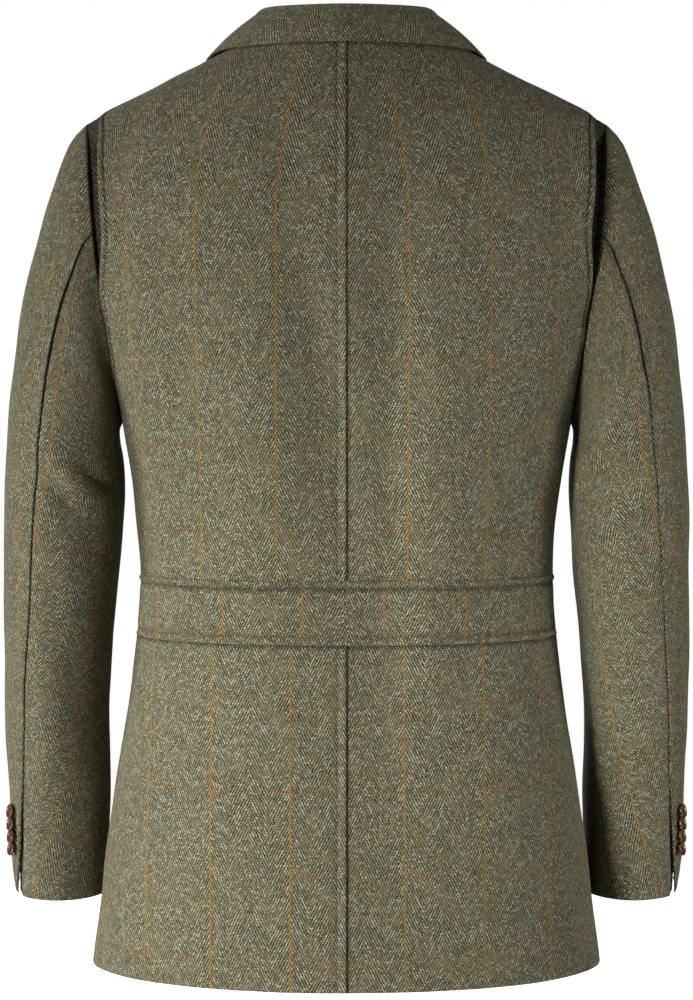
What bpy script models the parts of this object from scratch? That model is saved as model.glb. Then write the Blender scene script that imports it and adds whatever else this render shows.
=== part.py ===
"""A tailored tweed hunting jacket, hollow, in the form it keeps when it is worn.

Metres, +Z up. The origin lies between the shoulder seams, level with the sides of the neck, where
the wearer's shoulders carry the jacket. The wearer faces -Y, and the wearer's left is +X.

Every piece of cloth is a wall between two grids of points: an outer one on a form that is worked
out from the tables of sections below, and an inner one a cloth's thickness under it.
"""

import functools
import math
from collections import namedtuple

import bmesh
import bpy
import numpy as np
from mathutils import Matrix, Vector

# Cloth and seams
CLOTH = 0.002
SEAM = 0.0003
LAYER_GAP = 0.0005

# Heights of the body's lines
HEM_Z = -0.7685
BELT_TOP_Z = -0.443
BELT_BOTTOM_Z = -0.494
WAIST_SEAM_Z = -0.468
ARMPIT_Z = -0.320
SHOULDER_TIP_Z = -0.0715
NECK_Z = 0.0

# The torso's horizontal sections, from the hem to the shoulders, with its depth at the centre back
# and the centre front below the crown
FRONT_SQUARENESS = 2.3
TorsoRow = namedtuple("TorsoRow", "height half_width back front back_squareness")
TORSO = (
    TorsoRow(HEM_Z, 0.2115, 0.163, 0.156, 2.00),
    TorsoRow(-0.715, 0.2050, 0.157, 0.153, 2.00),
    TorsoRow(-0.632, 0.1942, 0.145, 0.147, 2.05),
    TorsoRow(-0.566, 0.1837, 0.135, 0.140, 2.10),
    TorsoRow(-0.500, 0.1748, 0.125, 0.134, 2.15),
    TorsoRow(-0.442, 0.1715, 0.121, 0.131, 2.20),
    TorsoRow(-0.384, 0.1755, 0.127, 0.135, 2.30),
    TorsoRow(-0.320, 0.1855, 0.137, 0.140, 2.45),
    TorsoRow(-0.267, 0.1980, 0.143, 0.141, 2.50),
    TorsoRow(-0.190, 0.2125, 0.147, 0.141, 2.50),
    TorsoRow(-0.120, 0.2190, 0.147, 0.141, 2.50),
    TorsoRow(-0.0755, 0.2215, 0.147, 0.141, 2.50),
)

# The crown: above these heights the back and the front round over to the shoulder line
BACK_CROWN_Z = -0.190
BACK_CROWN_ROUND = 2.0
FRONT_CROWN_Z = -0.250
FRONT_CROWN_ROUND = 1.6
ShoulderRow = namedtuple("ShoulderRow", "half_width height")
SHOULDER = (
    ShoulderRow(-0.045, 0.0165),
    ShoulderRow(0.000, 0.0300),
    ShoulderRow(0.045, 0.0165),
    ShoulderRow(0.078, 0.0000),
    ShoulderRow(0.128, -0.0268),
    ShoulderRow(0.182, -0.0540),
    ShoulderRow(0.2135, SHOULDER_TIP_Z),
    ShoulderRow(0.2225, -0.0800),
)
NECK_HALF_WIDTH = 0.078

# The armhole: an upright oval on the torso's side
ARMHOLE_MID_Z = (SHOULDER_TIP_Z + ARMPIT_Z) / 2
ARMHOLE_HALF_HEIGHT = (SHOULDER_TIP_Z - ARMPIT_Z) / 2
ARMHOLE_TURN = 15
ARMHOLE_BACK = 0.062
ARMHOLE_FRONT = 0.066

# The action pleat along the back of each armhole
PLEAT_GAP = 0.010
PLEAT_FULL_Z = -0.150
PLEAT_END_Z = -0.218
PLEAT_ROWS = (-0.2115, -0.178)
PLEAT_TOP_X = 0.2035
PLEAT_RAISE = 0.0040
PLEAT_RAISE_WIDTH = 0.034
PLEAT_RAISE_END_Z = PLEAT_END_Z - 0.030
PLEAT_FLAT_Z = SHOULDER_TIP_Z + 0.020
PLEAT_FLATTENS_Z = SHOULDER_TIP_Z + 0.004
PLEAT_UNDERLAP = 0.014
UNDERLAY_DROP = CLOTH + 0.0012
UNDERLAY_TOP_Z = SHOULDER_TIP_Z + 0.014
UNDERLAY_RISE = (0.2 * PLEAT_GAP, 0.7 * PLEAT_GAP)
UNDERLAY_SHARES = (0, 0.35, 0.62, 0.8, 0.9, 1)

# The belt's ends stop a few columns of the panels short of the side seams
BELT_COLUMNS_SHORT = 3

# The lapped centre back seam: a strip of the left panel stands proud
LAP_WIDTH = 0.0066
LAP_STEP = 0.0012
LAP_RAISE = 0.0007
LAP_FADE = 0.006
BACK_WIDTH = 0.22
BACK_EVEN_COLUMNS = 9
BACK_EDGE_SHARES = (0.90, 0.95, 0.985, 1)

# The fronts
FRONT_SHARES = (0, 0.1, 0.2, 0.3, 0.4, 0.5, 0.6, 0.7, 0.8, 0.9, 0.96, 1)
FRONT_OVERLAP = 0.018
BREAK_Z = -0.362
OVERLAP_LIFT = CLOTH + 0.0010
OVERLAP_LIFTED = FRONT_OVERLAP + 0.008
OVERLAP_FLAT = FRONT_OVERLAP + 0.045
OVERLAP_TOP_Z = -0.284
OVERLAP_TOP_FADE = 0.080
GORGE_Z = -0.046
LAPEL_TOP_Z = -0.0476
NOTCH_X = 0.094
NOTCH_Z = -0.0615
LAPEL_TIP_X = 0.124
LAPEL_TIP_Z = -0.086
NOTCH_SHARE = 0.6
LAPEL_SHARES = (0, 0.08, 0.2, 0.4, NOTCH_SHARE, 0.8, 1)
LAPEL_STATIONS = 10
LAPEL_BELLY = 0.010
LAPEL_GAP = 0.0013
LAPEL_ROLL = 0.0030
LAPEL_ROLL_WIDTH = 0.012

# The collar, from the centre back to its front end: the height where its base meets the body, the
# height and lean of the roll above it, and where its falling edge lies on the torso
CollarRow = namedtuple("CollarRow", "base_z stand lean edge_angle edge_z stand_off")
COLLAR = (
    CollarRow(NECK_Z, 0.0207, 0.0085, 90, -0.0085, 0.0036),
    CollarRow(NECK_Z, 0.0207, 0.0085, 61, -0.0098, 0.0034),
    CollarRow(NECK_Z, 0.0213, 0.0075, 33, -0.0112, 0.0032),
    CollarRow(NECK_Z, 0.0218, 0.0065, 2, -0.0148, 0.0032),
    CollarRow(-0.014, 0.0200, 0.0045, -38, -0.033, 0.0034),
    CollarRow(-0.030, 0.0130, 0.0030, -51, -0.051, 0.0036),
    CollarRow(GORGE_Z, 0.0070, 0.0020, -60, -0.068, 0.0038),
)
COLLAR_SIDE_ROW = 3
COLLAR_STATIONS = 17
COLLAR_BASE_STEP = 0.0006
COLLAR_ROLL_RADIUS = 0.0026
COLLAR_ROLL_TURNS = (180, 135, 90, 45, 10)
COLLAR_STAND_SHARE = 0.55
COLLAR_FALL_SHARES = (0.22, 0.46, 0.72, 1)
COLLAR_BULGE_OUT = 0.00165
COLLAR_BULGE_UP = 0.00145

# The sleeve's sections, from the armhole to the cuff, by their outer and inner points as they show
# from behind; the armhole's plane turns level at the upper arm
SleeveRow = namedtuple(
    "SleeveRow", "outer_x outer_z inner_x inner_z middle_y back front seam_angle"
)
SLEEVE = (
    SleeveRow(0.2135, SHOULDER_TIP_Z, 0.1855, ARMPIT_Z, 0.000, 0.0620, 0.0660, 75),
    SleeveRow(0.2270, -0.0865, 0.1866, -0.3225, 0.000, 0.0640, 0.0675, 74),
    SleeveRow(0.2432, -0.1280, 0.1875, -0.3255, 0.000, 0.0670, 0.0690, 73),
    SleeveRow(0.2597, -0.1830, 0.1878, -0.3300, -0.001, 0.0695, 0.0700, 72),
    SleeveRow(0.2720, -0.2450, 0.1874, -0.3370, -0.002, 0.0715, 0.0710, 71),
    SleeveRow(0.2792, -0.3100, 0.1855, -0.3500, -0.003, 0.0725, 0.0715, 69),
    SleeveRow(0.2830, -0.3700, 0.1840, -0.3800, -0.004, 0.0720, 0.0710, 66),
    SleeveRow(0.2850, -0.4300, 0.1875, -0.4330, -0.007, 0.0690, 0.0690, 64),
    SleeveRow(0.2855, -0.5000, 0.1945, -0.5000, -0.015, 0.0640, 0.0645, 61),
    SleeveRow(0.2855, -0.5700, 0.1985, -0.5700, -0.027, 0.0590, 0.0600, 56),
    SleeveRow(0.2840, -0.6350, 0.1990, -0.6350, -0.040, 0.0545, 0.0555, 49),
    SleeveRow(0.2835, -0.6920, 0.2000, -0.6920, -0.050, 0.0515, 0.0525, 40),
    SleeveRow(0.2825, -0.7160, 0.2010, -0.7160, -0.054, 0.0505, 0.0515, 35),
)
SLEEVE_STATIONS = (0, 0.5, 1, 1.5, 2, 3, 4, 4.7, 5.4, 6, 6.6, 7.2, 8, 9, 10, 11, 12)
FORE_SEAM_ANGLE = -120
ARMHOLE_FADE = 2.0
ARMHOLE_STEP = 0.0006
CUFF_TILT = math.radians(4)
CUFF_TILT_FROM = 8.0

# The top sleeve's hem climbs from the vent's corner to the outer side, and falls again to the fore seam
CUFF_RISE = 0.019
CUFF_RISE_FROM = 10.0
CUFF_RISE_OUTER = (35, 5)
CUFF_RISE_FRONT = (FORE_SEAM_ANGLE, -60)

# The cuff's vent, along the hind seam
VENT_TOP_Z = -0.605
VENT_OPEN_Z = -0.690
VENT_WIDTH = 0.0036
VENT_FLARE = 0.0050
VENT_FLARE_Z = -0.694
VENT_BOTTOM_Z = -0.716

# Soft folds in the cloth: where the middle lies as seen from behind or in front, how far it runs to
# each side along its line and across it, its line's slant from upright, and its height
Fold = namedtuple("Fold", "x z run spread slant height")
FOLD_FACING = (0.05, 0.6)
FOLD_SLEEVE_START = (0.5, 3)
BACK_FOLDS = (
    Fold(0.000, -0.390, 0.150, 0.042, 0, -0.0060),
    Fold(0.100, -0.300, 0.110, 0.030, 4, 0.0022),
    Fold(-0.104, -0.330, 0.100, 0.028, -6, 0.0024),
    Fold(0.152, -0.380, 0.070, 0.016, 8, -0.0026),
    Fold(-0.150, -0.372, 0.080, 0.018, -9, -0.0024),
    Fold(0.095, -0.640, 0.110, 0.040, -5, 0.0030),
    Fold(-0.120, -0.660, 0.110, 0.036, 4, 0.0026),
    Fold(0.224, -0.368, 0.040, 0.013, 62, -0.0040),
    Fold(0.236, -0.405, 0.045, 0.014, 55, 0.0032),
    Fold(-0.222, -0.352, 0.045, 0.014, -58, -0.0040),
    Fold(-0.236, -0.318, 0.040, 0.014, -50, 0.0034),
    Fold(-0.238, -0.398, 0.045, 0.014, -60, 0.0030),
    Fold(0.244, -0.560, 0.060, 0.020, 14, 0.0020),
    Fold(-0.246, -0.575, 0.060, 0.020, -12, 0.0020),
)
FRONT_FOLDS = (
    Fold(0.110, -0.330, 0.110, 0.030, 10, -0.0026),
    Fold(-0.108, -0.345, 0.100, 0.030, -12, -0.0026),
    Fold(0.105, -0.630, 0.110, 0.040, -4, 0.0030),
    Fold(-0.112, -0.650, 0.110, 0.038, 5, 0.0028),
    Fold(0.238, -0.395, 0.045, 0.015, 40, -0.0040),
    Fold(0.240, -0.440, 0.045, 0.015, -42, -0.0034),
    Fold(-0.238, -0.388, 0.045, 0.015, -38, -0.0040),
    Fold(-0.240, -0.436, 0.045, 0.015, 44, -0.0034),
)

# Buttons
CUFF_BUTTON_RADIUS = 0.0063
CUFF_BUTTON_THICK = 0.0023
CUFF_BUTTON_TOP_Z = -0.645
CUFF_BUTTON_PITCH = 0.0108
CUFF_BUTTON_TILT = math.radians(16)
CUFF_BUTTON_ANGLE = 29
CUFF_BUTTONS = 4
FRONT_BUTTON_RADIUS = 0.010
FRONT_BUTTON_THICK = 0.0036
FRONT_BUTTON_TOP_Z = -0.378
FRONT_BUTTON_PITCH = 0.098
FRONT_BUTTONS = 3
BUTTON_SIDES = 16
BUTTON_DISH = 0.62
BUTTON_DISH_DEPTH = 0.25
BUTTON_RIM_DROP = 0.22

# Finishes: colour, roughness
TWEED = ("tweed", (0.184, 0.168, 0.104), 0.92)
HORN = ("horn_button", (0.150, 0.058, 0.022), 0.35)

LEFT, RIGHT = 1, -1
SIDE_NAMES = {LEFT: "left", RIGHT: "right"}

# A small step for slopes, and the number of samples where a curve is searched
SMALL = 1e-4
SAMPLES = 300

# Each lapel's lower end, as a share of the roll line: the right one starts where the left front ends
LAPEL_START = {LEFT: 0.03, RIGHT: 0.235}


def smooth_between(low, high, value):
    """0 at low, 1 at high, with level ends."""
    share = np.clip((value - low) / (high - low), 0, 1)
    return share * share * (3 - 2 * share)


def through(rows, column, key, at):
    """A monotone smooth curve through one column of a table, against another column."""
    xs = np.array([getattr(row, key) for row in rows], float)
    ys = np.array([getattr(row, column) for row in rows], float)
    return monotone(xs, ys, at)


def monotone(xs, ys, at):
    steps = np.diff(xs)
    slopes = np.diff(ys) / steps
    ends = np.concatenate([[slopes[0]], slopes, [slopes[-1]]])
    before, after = ends[:-1], ends[1:]
    same_way = before * after > 0
    tangents = np.where(same_way, 2 * before * after / np.where(same_way, before + after, 1), 0)
    at = np.clip(np.asarray(at, float), xs[0], xs[-1])
    i = np.clip(np.searchsorted(xs, at, side="right") - 1, 0, len(steps) - 1)
    t = (at - xs[i]) / steps[i]
    rise = (1 + 2 * t) * (1 - t) ** 2 * ys[i] + t * t * (3 - 2 * t) * ys[i + 1]
    turn = t * (1 - t) ** 2 * tangents[i] + t * t * (t - 1) * tangents[i + 1]
    return rise + turn * steps[i]


# The torso's form

def torso_half_width(z):
    return through(TORSO, "half_width", "height", z)


def squareness(z, to_back):
    """How square the section's corners are: 2 is an ellipse."""
    back = through(TORSO, "back_squareness", "height", z)
    return np.where(to_back, back, FRONT_SQUARENESS)


def shoulder_height(x):
    return through(SHOULDER, "height", "half_width", np.abs(x))


def torso_reach(z):
    """The widest point at a height: the side below the shoulder tip, the shoulder line above it."""
    widths = np.linspace(0, SHOULDER[-1].half_width, SAMPLES)
    on_line = np.interp(-np.asarray(z, float), -shoulder_height(widths), widths)
    return np.where(z > SHOULDER[-1].height, on_line, torso_half_width(z))


def torso_depth(x, z, to_back):
    """How far the form reaches back or forward at a width and a height."""
    column = "back" if to_back else "front"
    square = squareness(z, to_back)
    crown_z = BACK_CROWN_Z if to_back else FRONT_CROWN_Z
    rounding = BACK_CROWN_ROUND if to_back else FRONT_CROWN_ROUND
    across = np.clip(np.abs(x) / torso_half_width(z), 0, 1)
    plan = through(TORSO, column, "height", z) * (1 - across ** square) ** (1 / square)
    climb = np.clip((z - crown_z) / (shoulder_height(x) - crown_z), 0, 1)
    return plan * (1 - climb ** rounding) ** (1 / rounding)


def torso_point(angle, z):
    """A point of the left half: the angle is 90 degrees at the centre back, 0 at the side seam and
    -90 at the centre front."""
    angle, z = np.broadcast_arrays(np.asarray(angle, float), np.asarray(z, float))
    cosine, sine = np.cos(angle), np.sin(angle)
    to_back = sine >= 0
    x = torso_reach(z) * np.sign(cosine) * np.abs(cosine) ** (2 / squareness(z, to_back))
    y = np.where(to_back, torso_depth(x, z, True), -torso_depth(x, z, False))
    return np.stack([x, y, z], axis=-1)


def normals_of(surface, first, second):
    """Unit normals of a surface by central differences."""
    along = surface(first + SMALL, second) - surface(first - SMALL, second)
    up = surface(first, second + SMALL) - surface(first, second - SMALL)
    normal = np.cross(along, up)
    return normal / np.linalg.norm(normal, axis=-1, keepdims=True)


def torso_normal(angle, z):
    return normals_of(torso_point, angle, z)


def angle_at_depth(y, z):
    fine = np.linspace(0, math.copysign(math.pi / 2, y), SAMPLES)
    return float(np.interp(abs(y), np.abs(torso_point(fine, z)[:, 1]), fine))


def angle_at_width(x, z, to_back):
    share = min(1.0, abs(x) / float(torso_reach(z)))
    angle = math.acos(math.copysign(share ** (float(squareness(z, to_back)) / 2), x))
    return angle if to_back else -angle


def even_angles(z, start, end, shares):
    """Angles at given shares of the cloth's width between two angles, with half a seam left at each
    end."""
    fine = np.linspace(start, end, SAMPLES)
    points = torso_point(fine, z)
    lengths = np.concatenate([[0], np.cumsum(np.linalg.norm(np.diff(points, axis=0), axis=1))])
    trimmed = SEAM / 2 + np.asarray(shares) * (lengths[-1] - SEAM)
    return np.interp(trimmed, lengths, fine), trimmed, lengths[-1]


def fold_height(points, normals):
    """How far the soft folds move each point out."""
    height = np.zeros(points.shape[:-1])
    for folds, way in ((BACK_FOLDS, 1), (FRONT_FOLDS, -1)):
        faces = smooth_between(*FOLD_FACING, way * normals[..., 1])
        for fold in folds:
            slant = math.radians(fold.slant)
            right, up = points[..., 0] - fold.x, points[..., 2] - fold.z
            along = (up * math.cos(slant) + right * math.sin(slant)) / fold.run
            across = (right * math.cos(slant) - up * math.sin(slant)) / fold.spread
            height += faces * fold.height * np.exp(-along ** 2 - across ** 2)
    return height


def mirrored(points, side):
    return points * np.array([side, 1, 1])


# Making the objects

def cleared_scene():
    for existing in list(bpy.data.objects):
        bpy.data.objects.remove(existing, do_unlink=True)


def finish_of(look):
    name, colour, roughness = look
    material = bpy.data.materials.get(name)
    if material is None:
        material = bpy.data.materials.new(name)
        material.use_nodes = True
        shader = material.node_tree.nodes["Principled BSDF"]
        shader.inputs["Base Color"].default_value = (*colour, 1)
        shader.inputs["Roughness"].default_value = roughness
        shader.inputs["Metallic"].default_value = 0
    return material


def placed(name, mesh, look, jacket):
    mesh.materials.append(finish_of(look))
    mesh.shade_smooth()
    mesh.set_sharp_from_angle(angle=math.radians(40))
    piece = bpy.data.objects.new(name, mesh)
    jacket.objects.link(piece)
    return piece


def cloth_wall(name, outer, inner, jacket):
    """A sheet of cloth between two grids of points: a grid, extruded, with its far side moved."""
    rows, columns = outer.shape[:2]
    work = bmesh.new()
    bmesh.ops.create_grid(work, x_segments=columns - 1, y_segments=rows - 1, size=1)
    place = work.verts.layers.int.new("place")
    outer_points, inner_points = outer.reshape(-1, 3), inner.reshape(-1, 3)
    for number, vertex in enumerate(work.verts):
        vertex[place] = number
        vertex.co = outer_points[number]
    made = bmesh.ops.extrude_face_region(work, geom=work.faces[:], use_keep_orig=True)
    for element in made["geom"]:
        if isinstance(element, bmesh.types.BMVert):
            element.co = inner_points[element[place]]
    bmesh.ops.recalc_face_normals(work, faces=work.faces[:])
    mesh = bpy.data.meshes.new(name)
    work.to_mesh(mesh)
    work.free()
    return placed(name, mesh, TWEED, jacket)


def torso_panel(name, heights, edges, shares, side, raised, jacket):
    """A piece of the body: for each height, the angles of its two edges, and how far each point is
    raised from the form."""
    angles, levels, lifts = [], [], []
    for z in heights:
        start, end = edges(z)
        row, along, width = even_angles(z, start, end, shares)
        angles.append(row)
        levels.append(np.full(len(row), z))
        lifts.append(raised(z, along, width))
    angles, levels, lifts = np.array(angles), np.array(levels), np.array(lifts)
    points = torso_point(angles, levels)
    normals = torso_normal(angles, levels)
    points, normals = mirrored(points, side), mirrored(normals, side)
    lift = (lifts + fold_height(points, normals))[..., None]
    return cloth_wall(name, points + normals * lift, points + normals * (lift - CLOTH), jacket)


# Back

def armhole_depth(z, to_back):
    level = (z - ARMHOLE_MID_Z) / ARMHOLE_HALF_HEIGHT
    widest = ARMHOLE_BACK if to_back else -ARMHOLE_FRONT
    return widest * math.sqrt(max(0.0, 1 - level * level))


def armhole_angle(z, to_back):
    """The panel's edge at this height: the side seam, the armhole or the shoulder seam."""
    if z <= ARMPIT_Z or z >= SHOULDER_TIP_Z:
        return 0.0
    return angle_at_depth(armhole_depth(z, to_back), z)


def armhole_heights():
    """Heights spaced round the armhole, closest at its top and bottom."""
    turn = np.radians(np.arange(0, 180 + ARMHOLE_TURN, ARMHOLE_TURN))
    return ARMHOLE_MID_Z - ARMHOLE_HALF_HEIGHT * np.cos(turn)


def pleat_gap(z):
    if z >= SHOULDER_TIP_Z:
        return max(0.0, float(torso_reach(z)) - PLEAT_TOP_X)
    return PLEAT_GAP * float(smooth_between(PLEAT_END_Z, PLEAT_FULL_Z, z))


def pleat_fold_angle(z):
    """The pleat's folded edge, which stands clear of the armhole seam."""
    edge = armhole_angle(z, True)
    if z <= PLEAT_END_Z:
        return edge
    fold_x = float(torso_point(edge, z)[0]) - pleat_gap(z)
    return max(edge, angle_at_width(fold_x, z, True))


def pleat_lift(z, from_fold):
    """How far the pleat's folded edge stands off, which fades across the back and at both ends."""
    along = float(smooth_between(PLEAT_RAISE_END_Z, PLEAT_FULL_Z, z))
    top = 1 - float(smooth_between(PLEAT_FLATTENS_Z, PLEAT_FLAT_Z, z))
    return PLEAT_RAISE * along * top * (1 - smooth_between(0, PLEAT_RAISE_WIDTH, from_fold))


def lap_lift(z, from_centre):
    """The lapped seam's strip, flat under the belt."""
    under_belt = smooth_between(BELT_BOTTOM_Z - LAP_FADE, BELT_BOTTOM_Z, z) * (
        1 - smooth_between(BELT_TOP_Z, BELT_TOP_Z + LAP_FADE, z)
    )
    strip = 1 - smooth_between(LAP_WIDTH, LAP_WIDTH + LAP_STEP, from_centre)
    return LAP_RAISE * strip * (1 - under_belt)


def back_shares():
    """Columns for the lapped strip first, then even ones to the pleat's edge."""
    strip = np.array([0, LAP_WIDTH, LAP_WIDTH + LAP_STEP]) / BACK_WIDTH
    even = np.linspace(strip[-1], BACK_EDGE_SHARES[0], BACK_EVEN_COLUMNS)
    return np.concatenate([strip, even[1:-1], BACK_EDGE_SHARES])


def back_upper(side, jacket):
    under_belt = [WAIST_SEAM_Z + SEAM / 2, BELT_TOP_Z]
    lower = np.linspace(BELT_TOP_Z + LAP_FADE, ARMPIT_Z, 5)[:-1]
    upper = np.linspace(SHOULDER_TIP_Z, NECK_Z - SMALL, 6)[1:]
    heights = np.sort(np.concatenate([under_belt, lower, armhole_heights(), PLEAT_ROWS, upper]))

    def edges(z):
        return math.pi / 2, pleat_fold_angle(z)

    def raised(z, along, width):
        lap = lap_lift(z, along) if side == LEFT else 0
        return lap + pleat_lift(z, width - along)

    name = f"back_upper_{SIDE_NAMES[side]}"
    return torso_panel(name, heights, edges, back_shares(), side, raised, jacket)


def back_skirt(side, jacket):
    lower = np.linspace(HEM_Z, BELT_BOTTOM_Z - LAP_FADE, 8)
    heights = np.concatenate([lower, [BELT_BOTTOM_Z, WAIST_SEAM_Z - SEAM / 2]])

    def edges(z):
        return math.pi / 2, 0.0

    def raised(z, along, width):
        return lap_lift(z, along) if side == LEFT else np.zeros(len(along))

    name = f"back_skirt_{SIDE_NAMES[side]}"
    return torso_panel(name, heights, edges, back_shares(), side, raised, jacket)


def pleat_underlay(side, jacket):
    """The cloth at the bottom of the pleat, from under the fold to the armhole seam."""
    sides = [z for z in armhole_heights() if PLEAT_ROWS[0] < z < SHOULDER_TIP_Z - SMALL]
    top = np.linspace(SHOULDER_TIP_Z, UNDERLAY_TOP_Z, 5)
    heights = np.sort(np.concatenate([sides, PLEAT_ROWS, top]))

    def edges(z):
        fold = torso_point(pleat_fold_angle(z), z)
        return angle_at_width(float(fold[0]) - PLEAT_UNDERLAP, z, True), armhole_angle(z, True)

    def raised(z, along, width):
        gap = pleat_gap(z)
        rises = smooth_between(*UNDERLAY_RISE, gap)
        return -UNDERLAY_DROP * (1 - rises * (1 - smooth_between(0, gap + SMALL, width - along)))

    name = f"pleat_underlay_{SIDE_NAMES[side]}"
    return torso_panel(name, heights, edges, UNDERLAY_SHARES, side, raised, jacket)


def half_belt(jacket):
    """The belt lies on the back from side seam to side seam, on the panels' own columns."""
    heights = np.array([BELT_BOTTOM_Z, WAIST_SEAM_Z - SEAM / 2, WAIST_SEAM_Z + SEAM / 2, BELT_TOP_Z])
    lift = LAYER_GAP + CLOTH
    shares = np.delete(back_shares(), 1)[:-BELT_COLUMNS_SHORT]
    halves = []
    for side in (LEFT, RIGHT):
        rows = [even_angles(z, math.pi / 2, 0.0, shares)[0] for z in heights]
        angles, levels = np.array(rows), np.repeat(heights[:, None], len(shares), axis=1)
        angles[:, 0] = math.pi / 2
        points = mirrored(torso_point(angles, levels), side)
        normals = mirrored(torso_normal(angles, levels), side)
        raised = (lift + fold_height(points, normals))[..., None]
        halves.append((points + normals * raised, points + normals * (raised - CLOTH)))
    outer, inner = (
        np.concatenate([halves[1][k][:, :0:-1], halves[0][k]], axis=1) for k in (0, 1)
    )
    return cloth_wall("half_belt", outer, inner, jacket)


# Fronts

def front_edge_x(z):
    """The front's free edge on its own half: the overlap below the break, the roll line above it."""
    if z <= BREAK_Z:
        return -FRONT_OVERLAP
    share = (z - BREAK_Z) / (NECK_Z - BREAK_Z)
    return -FRONT_OVERLAP + share * (NECK_HALF_WIDTH + FRONT_OVERLAP)


def overlap_lift(x, z, side):
    """The left front lies over the right one at the centre, below the open neck."""
    if side == RIGHT:
        return np.zeros_like(x)
    near_centre = 1 - smooth_between(OVERLAP_LIFTED, OVERLAP_FLAT, x)
    below_neck = 1 - smooth_between(OVERLAP_TOP_Z, OVERLAP_TOP_Z + OVERLAP_TOP_FADE, z)
    return OVERLAP_LIFT * near_centre * below_neck


def front(side, jacket):
    lower = np.linspace(HEM_Z, ARMPIT_Z, 13)[:-1]
    upper = np.linspace(SHOULDER_TIP_Z, NECK_Z - SMALL, 6)[1:]
    heights = np.concatenate([lower, armhole_heights(), upper])

    def edges(z):
        return angle_at_width(front_edge_x(z), z, False), armhole_angle(z, False)

    def raised(z, along, width):
        return overlap_lift(front_edge_x(z) + along, z, side)

    name = f"front_{SIDE_NAMES[side]}"
    return torso_panel(name, heights, edges, FRONT_SHARES, side, raised, jacket)


def front_map(x, z, lift):
    """Points on the left front at given widths and heights, moved out."""
    angles = np.array(
        [[angle_at_width(xx, zz, False) for xx, zz in zip(*rows)] for rows in zip(x, z)]
    )
    points = torso_point(angles, z)
    normals = torso_normal(angles, z)
    return points + normals * lift[..., None], normals


def lapel(side, jacket):
    """The turned back edge of the front, from the break to the gorge and the notch."""
    along = np.linspace(LAPEL_START[side], 1, LAPEL_STATIONS)[:, None]
    across = np.array(LAPEL_SHARES)[None, :]
    roll_top_x = front_edge_x(LAPEL_TOP_Z)
    stops = (0, NOTCH_SHARE, 1)
    top_x = np.interp(across, stops, (roll_top_x, NOTCH_X, LAPEL_TIP_X))
    top_z = np.interp(across, stops, (LAPEL_TOP_Z, NOTCH_Z, LAPEL_TIP_Z))
    belly = LAPEL_BELLY * np.sin(math.pi * along) * across
    x = -FRONT_OVERLAP + (top_x + FRONT_OVERLAP) * along + belly
    z = BREAK_Z + (top_z - BREAK_Z) * along
    width = np.linalg.norm(np.stack([x - x[:, :1], z - z[:, :1]]), axis=0)
    roll = LAPEL_ROLL * np.sin(math.pi * np.clip(width / LAPEL_ROLL_WIDTH, 0, 1))
    flat, normals = front_map(x, z, overlap_lift(x, z, side))
    flat, normals = mirrored(flat, side), mirrored(normals, side)
    lift = (fold_height(flat, normals) + LAPEL_GAP + roll)[..., None]
    inner = flat + normals * lift
    return cloth_wall(f"lapel_{SIDE_NAMES[side]}", inner + normals * CLOTH, inner, jacket)


# Collar

def collar_base(row_share, base_z):
    """Where the collar starts on the left half: round the neck, then down the front's roll line."""
    if row_share <= COLLAR_SIDE_ROW:
        angle = math.pi / 2 * (1 - row_share / COLLAR_SIDE_ROW)
        return torso_point(angle, NECK_Z)
    edge_x = front_edge_x(base_z)
    return torso_point(angle_at_width(edge_x, base_z, False), base_z)


def collar_section(row_share):
    """The middle line of the folded cloth, from the base over the roll to the falling edge."""
    numbers = np.arange(len(COLLAR))

    def value(column):
        return float(monotone(numbers, np.array([getattr(r, column) for r in COLLAR]), row_share))

    base = collar_base(row_share, value("base_z"))
    edge_angle, edge_z = np.array(math.radians(value("edge_angle"))), np.array(value("edge_z"))
    edge_normal = torso_normal(edge_angle, edge_z)
    edge = torso_point(edge_angle, edge_z) + edge_normal * (value("stand_off") - CLOTH / 2)
    outward = (edge - base) * np.array([1, 1, 0])
    outward /= np.linalg.norm(outward)
    up = np.array([0, 0, 1.0])
    base = base + up * COLLAR_BASE_STEP - outward * (CLOTH / 2 + LAYER_GAP)
    roll = base + up * (value("stand") - COLLAR_ROLL_RADIUS) - outward * value("lean")
    arc = [
        roll + outward * (COLLAR_ROLL_RADIUS * (1 + math.cos(turn)))
        + up * (COLLAR_ROLL_RADIUS * math.sin(turn))
        for turn in np.radians(COLLAR_ROLL_TURNS)
    ]
    fall_start = arc[-1]
    bulge = outward * COLLAR_BULGE_OUT + up * COLLAR_BULGE_UP
    fall = [
        fall_start + (edge - fall_start) * share + bulge * math.sin(math.pi * share)
        for share in COLLAR_FALL_SHARES
    ]
    return np.array([base, base + (roll - base) * COLLAR_STAND_SHARE, *arc, *fall])


def collar(jacket):
    shares = np.linspace(0, len(COLLAR) - 1, COLLAR_STATIONS)
    half = np.stack([collar_section(s) for s in shares], axis=1)
    middle = np.concatenate([mirrored(half[:, :0:-1], RIGHT), half], axis=1)
    along = np.gradient(middle, axis=1)
    over = np.gradient(middle, axis=0)
    normals = np.cross(over, along)
    normals /= np.linalg.norm(normals, axis=-1, keepdims=True)
    half_cloth = normals * CLOTH / 2
    return cloth_wall("collar", middle + half_cloth, middle - half_cloth, jacket)


# Sleeves

def sleeve_value(column, station):
    numbers = np.arange(len(SLEEVE))
    return monotone(numbers, np.array([getattr(row, column) for row in SLEEVE]), station)


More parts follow.
